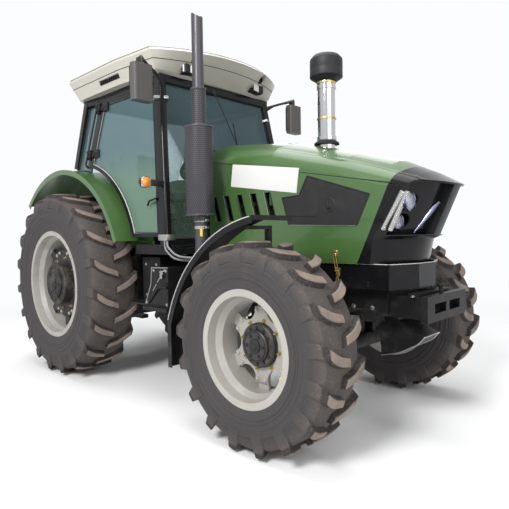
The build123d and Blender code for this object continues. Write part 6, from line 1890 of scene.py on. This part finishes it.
@dataclass
class SideTrim:
    """Tool box, battery case, tank and step fittings."""

    def build(self, repeat: Repeater) -> None:
        """Make the fittings."""
        box = ((1.464, 1.080), (1.677, 1.086), (1.672, 0.790), (1.370, 0.786), (1.452, 0.950))
        edges, braces, latch = Form(), Form(), Form()
        for a, b in ((box[0], box[1]), (box[0], box[4]), (box[4], box[3])):
            edges.rod((a[0], -0.852, a[1]), (b[0], -0.852, b[1]), 0.004, 8)
        edges.rod((1.640, -0.853, 1.075), (1.480, -0.853, 0.900), 0.005, 8)
        edges.piece("Box_edges", Look.STEEL)
        braces.pipe(((1.420, -0.856, 0.800), (1.560, -0.856, 0.930), (1.668, -0.856, 0.935)), 0.010, 0.03, 10)
        braces.block((1.500, -0.858, 0.952), (1.660, -0.850, 0.968), 0.003)
        braces.piece("Box_brace", Look.BLACK)
        latch.block((1.585, -0.862, 1.030), (1.625, -0.850, 1.062), 0.003)
        latch.block((1.590, -0.868, 1.000), (1.620, -0.858, 1.040), 0.004)
        latch.rod((1.583, -0.862, 1.052), (1.627, -0.862, 1.052), 0.005, 12)
        latch.piece("Box_latch", Look.STEEL)
        bolts = Fixings("Side_bolts", Fastener.MEDIUM)
        for x, z in ((1.39, 0.80), (1.655, 0.80), (1.65, 1.06), (1.49, 1.06)):
            bolts.at((x, -0.8505, z), (0, -1, 0))
        for x in (1.16, 1.31):
            for z in (1.09, 0.83):
                bolts.at((x, -0.7005, z), (0, -1, 0))
        for x in (1.12, 1.32):
            for z in (0.43, 0.68, 0.93):
                bolts.at((x, 0.8505, z - 0.006), (0, 1, 0))
        bolts.build(repeat)
        strap = Form()
        for x in (1.48, 1.70):
            loop = ((x, 0.855, 0.70), (x, 0.855, 1.05), (x, 0.79, 1.115), (x, 0.50, 1.115), (x, 0.36, 1.09))
            for a, b in zip(loop, loop[1:]):
                a, b = Vector(a), Vector(b)
                along = (b - a).normalized()
                out = Vector((1, 0, 0)).cross(along).normalized() * 0.003
                wide = Vector((0.018, 0, 0))
                strap.add_grid([[p - wide - out, p + wide - out, p + wide + out, p - wide + out]
                                for p in (a - along * 0.003, b + along * 0.003)], cap=True)
        strap.piece("Tank_straps", Look.BLACK)
        cap = Form()
        cap.turned(((-0.01, 0), (-0.01, 0.040), (0.018, 0.040), (0.020, 0.046), (0.044, 0.046),
                    (0.050, 0.040), (0.050, 0.012), (0.058, 0.010), (0.058, 0)), (1.60, 0.70, 1.108), UP, 36)
        for a in spokes(10):
            foot = Vector((1.60, 0.70, 1.131)) + a * 0.046
            cap.rod(foot, foot + Vector((0, 0, 0.019)), 0.004, 8)
        cap.piece("Tank_cap", Look.PLASTIC)
        stud = Form()
        stud.turned(((-0.002, 0), (-0.002, 0.010), (0.004, 0.008), (0.006, 0.004), (0.006, 0)), (0, 0, 0),
                    UP, 10)
        places = [((1.11 + 0.045 * i, 0.63 + 0.05 * j, z), UP) for z in (0.4455, 0.6955, 0.9455)
                  for i in range(6) for j in range(5)]
        data = repeat.at_places(stud.mesh("tread_stud"), places, Look.BLACK)
        mount(joined("Step_treads", (data,), 35), "Step_treads", Look.BLACK)


@dataclass
class RearTrim:
    """Couplers and their caps, bolts and the trailer socket at the rear."""

    def build(self, repeat: Repeater) -> None:
        """Make the trim."""
        face = -0.3305
        bolts = Fixings("Rear_bolts", Fastener.MEDIUM, Look.CAST)
        for side in (-1, 1):
            bolts.ring(REAR.at(side * 0.2845), 0.140, 10, (0, side, 0))
            for z in (0.60, 0.72, 0.95, 1.07):
                bolts.at((face, side * 0.235, z), (-1, 0, 0))
        bolts.ring((face, 0.0, 0.690), 0.085, 8, (-1, 0, 0))
        bolts.build(repeat)
        couplers, caps = Form(), Form()
        for side in (-1, 1):
            for i in range(2):
                place = (-0.332, side * (0.11 + 0.06 * i), 1.02)
                couplers.turned(((0, 0), (0, 0.022), (0.012, 0.022), (0.012, 0.018), (0.040, 0.018),
                                 (0.042, 0.016), (0.050, 0.016), (0.050, 0)), place, (-1, 0, 0), 24)
                caps.turned(((0.050, 0), (0.050, 0.019), (0.062, 0.019), (0.066, 0.014), (0.066, 0)), place,
                            (-1, 0, 0), 24)
        couplers.piece("Rear_couplers", Look.STEEL)
        caps.piece("Coupler_caps", Look.CAP_RED)
        plate = Form()
        plate.block((-0.338, -0.060, 0.860), (-0.330, 0.060, 0.930), 0.003)
        plate.turned(((0, 0), (0, 0.030), (0.026, 0.030), (0.030, 0.026), (0.030, 0.020), (0.020, 0.018),
                      (0.020, 0)), (-0.336, 0.0, 0.895), (-1, 0, 0), 28)
        plate.piece("Trailer_socket", Look.PLASTIC)


# ---- stage
@dataclass
class Studio:
    """Camera, soft lamps, floor and background."""

    eye: Point = (4.740, -3.066, 1.340)
    yaw: float = 133.66
    pitch: float = -2.405
    roll: float = -0.8275
    lens: float = 34.64
    shift: Point = (-0.0066, -0.0014)
    floor_colour: Point = (0.90, 0.90, 0.90)
    floor_reach: float = 60.0
    lamps: tuple[tuple[Any, ...], ...] = (
        ("Key", (2.5, -7.0, 6.0), (0, 0, 1.0), 2.4, 700), ("Fill", (7.5, -2.0, 3.2), (0, 0, 1.0), 5.0, 170),
        ("Back", (-4.0, 6.0, 6.0), (0, 0, 1.4), 6.0, 200), ("Top", (0.0, 0, 8.0), (0, 0, 1.0), 6.0, 330))
    sky: Point = (0.97, 0.98, 1.0)

    def camera(self) -> None:
        """Set the camera."""
        data = bpy.data.cameras.new("Camera")
        data.lens, data.sensor_width = self.lens, 36.0
        data.shift_x, data.shift_y = self.shift
        data.clip_end = 200.0
        yaw, pitch, roll = (radians(v) for v in (self.yaw, self.pitch, self.roll))
        ahead = Vector((cos(yaw) * cos(pitch), sin(yaw) * cos(pitch), sin(pitch)))
        right = ahead.cross(Vector(UP)).normalized()
        up = right.cross(ahead)
        side = right * cos(roll) + up * sin(roll)
        top = up * cos(roll) - right * sin(roll)
        turn = Matrix((side, top, -ahead)).transposed().to_4x4()
        camera = in_scene("Camera", data)
        camera.matrix_world = Matrix.Translation(Vector(self.eye) + Form.origin) @ turn
        bpy.context.scene.camera = camera

    @staticmethod
    def lamp(name: str, place: Point, target: Point, size: float, power: float) -> None:
        """Add a soft square lamp.

        Args:
            name: Its name.
            place: Where it hangs.
            target: Where it points.
            size: Its side.
            power: Watts.
        """
        data = bpy.data.lights.new(name, "AREA")
        data.shape, data.size, data.energy = "SQUARE", size, power
        lamp = in_scene(name, data)
        lamp.location = place
        lamp.rotation_euler = (Vector(target) - Vector(place)).to_track_quat("-Z", "Y").to_euler()

    def build(self) -> None:
        """Set the whole stage."""
        bpy.context.scene.view_settings.view_transform = "Standard"
        self.camera()
        reach = self.floor_reach
        data = bpy.data.meshes.new("floor")
        data.from_pydata([(-reach, -reach, 0), (reach, -reach, 0), (reach, reach, 0), (-reach, reach, 0)], [],
                         [(0, 1, 2, 3)])
        data.materials.append(self.floor_material())
        in_scene("Floor", data)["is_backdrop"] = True
        self.world()
        for lamp in self.lamps:
            self.lamp(*lamp)

    def _seen(self, s: Shader) -> Wire:
        """Return 1 for rays that show the background: camera, mirror and glass rays."""
        path = s.tree.nodes.new("ShaderNodeLightPath")
        camera, glossy, through = (Wire(s.tree, path.outputs[f"Is {kind} Ray"])
                                   for kind in ("Camera", "Glossy", "Transmission"))
        return (camera + glossy + through).clamp()

    def floor_material(self) -> Material:
        """Return the pale floor."""
        s = Shader("studio_floor")
        grain = s.noise(3.0, 3.0)
        base = s.mix(grain * 0.04, self.floor_colour, tuple(c * 0.96 for c in self.floor_colour))
        x, y = s.axis("X"), s.axis("Y")
        far = ((x * x + y * y) ** 0.5).band(3.2, 7.5)
        floor = s.principled(Base_Color=base, Roughness=0.9, Specular_IOR_Level=0.1)
        glow = s.add("ShaderNodeEmission", inputs={"Color": rgb(self.sky), "Strength": 1.0})
        return s.end(s.add("ShaderNodeMixShader", inputs={0: far * self._seen(s), 1: floor, 2: glow}))

    def world(self) -> None:
        """Set the pale background."""
        world = bpy.data.worlds.new("studio")
        world.use_nodes = True
        s = Shader.__new__(Shader)
        s.tree = world.node_tree
        s.tree.nodes.clear()
        strength = 0.43 + self._seen(s) * 0.57
        back = s.add("ShaderNodeBackground", inputs={"Color": rgb(self.sky), "Strength": strength})
        s.add("ShaderNodeOutputWorld", inputs={"Surface": back})
        bpy.context.scene.world = world


# ---- the machine
def dress_nodes(frame: dict[str, Any]) -> None:
    """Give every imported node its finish.
    """
    for name, node in frame["nodes"].items():
        look = next(look for look, starts in NODE_LOOKS.items() if name.startswith(starts))
        node.data.materials.clear()
        node.data.materials.append(look.material)
        log.info("%s: %s", name, look.name.lower())


def corners(box: tuple[Vector, Vector]) -> list[list[float]]:
    """Return a box's two corners as plain lists."""
    return [[round(float(v), 5) for v in corner] for corner in box]


def main() -> None:
    """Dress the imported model, add the detail and set the stage."""
    logging.basicConfig(level=logging.INFO, format="%(name)s %(message)s")
    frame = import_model()
    solid_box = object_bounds()
    Form.set_origin()
    dress_nodes(frame)
    repeat = Repeater()
    wheels = [(wheel, side, f"{wheel.place}_{word}") for side, word in SIDES for wheel in (FRONT, REAR)]
    for kind in (Tyre, WheelTrim):
        for wheel, side, name in wheels:
            kind(wheel, side, name).build(repeat)
    BonnetTrim().build()
    NoseTrim().build(repeat)
    StackTrim().build(repeat)
    CabTrim().build()
    Seat().build()
    Controls().build()
    MirrorTrim().build()
    FrontTrim().build(repeat)
    AxleTrim().build(repeat)
    SideTrim().build(repeat)
    RearTrim().build(repeat)
    Studio().build()
    {"cad": corners(solid_box), "visual": corners(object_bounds())}


if __name__ == "__main__":
    main()
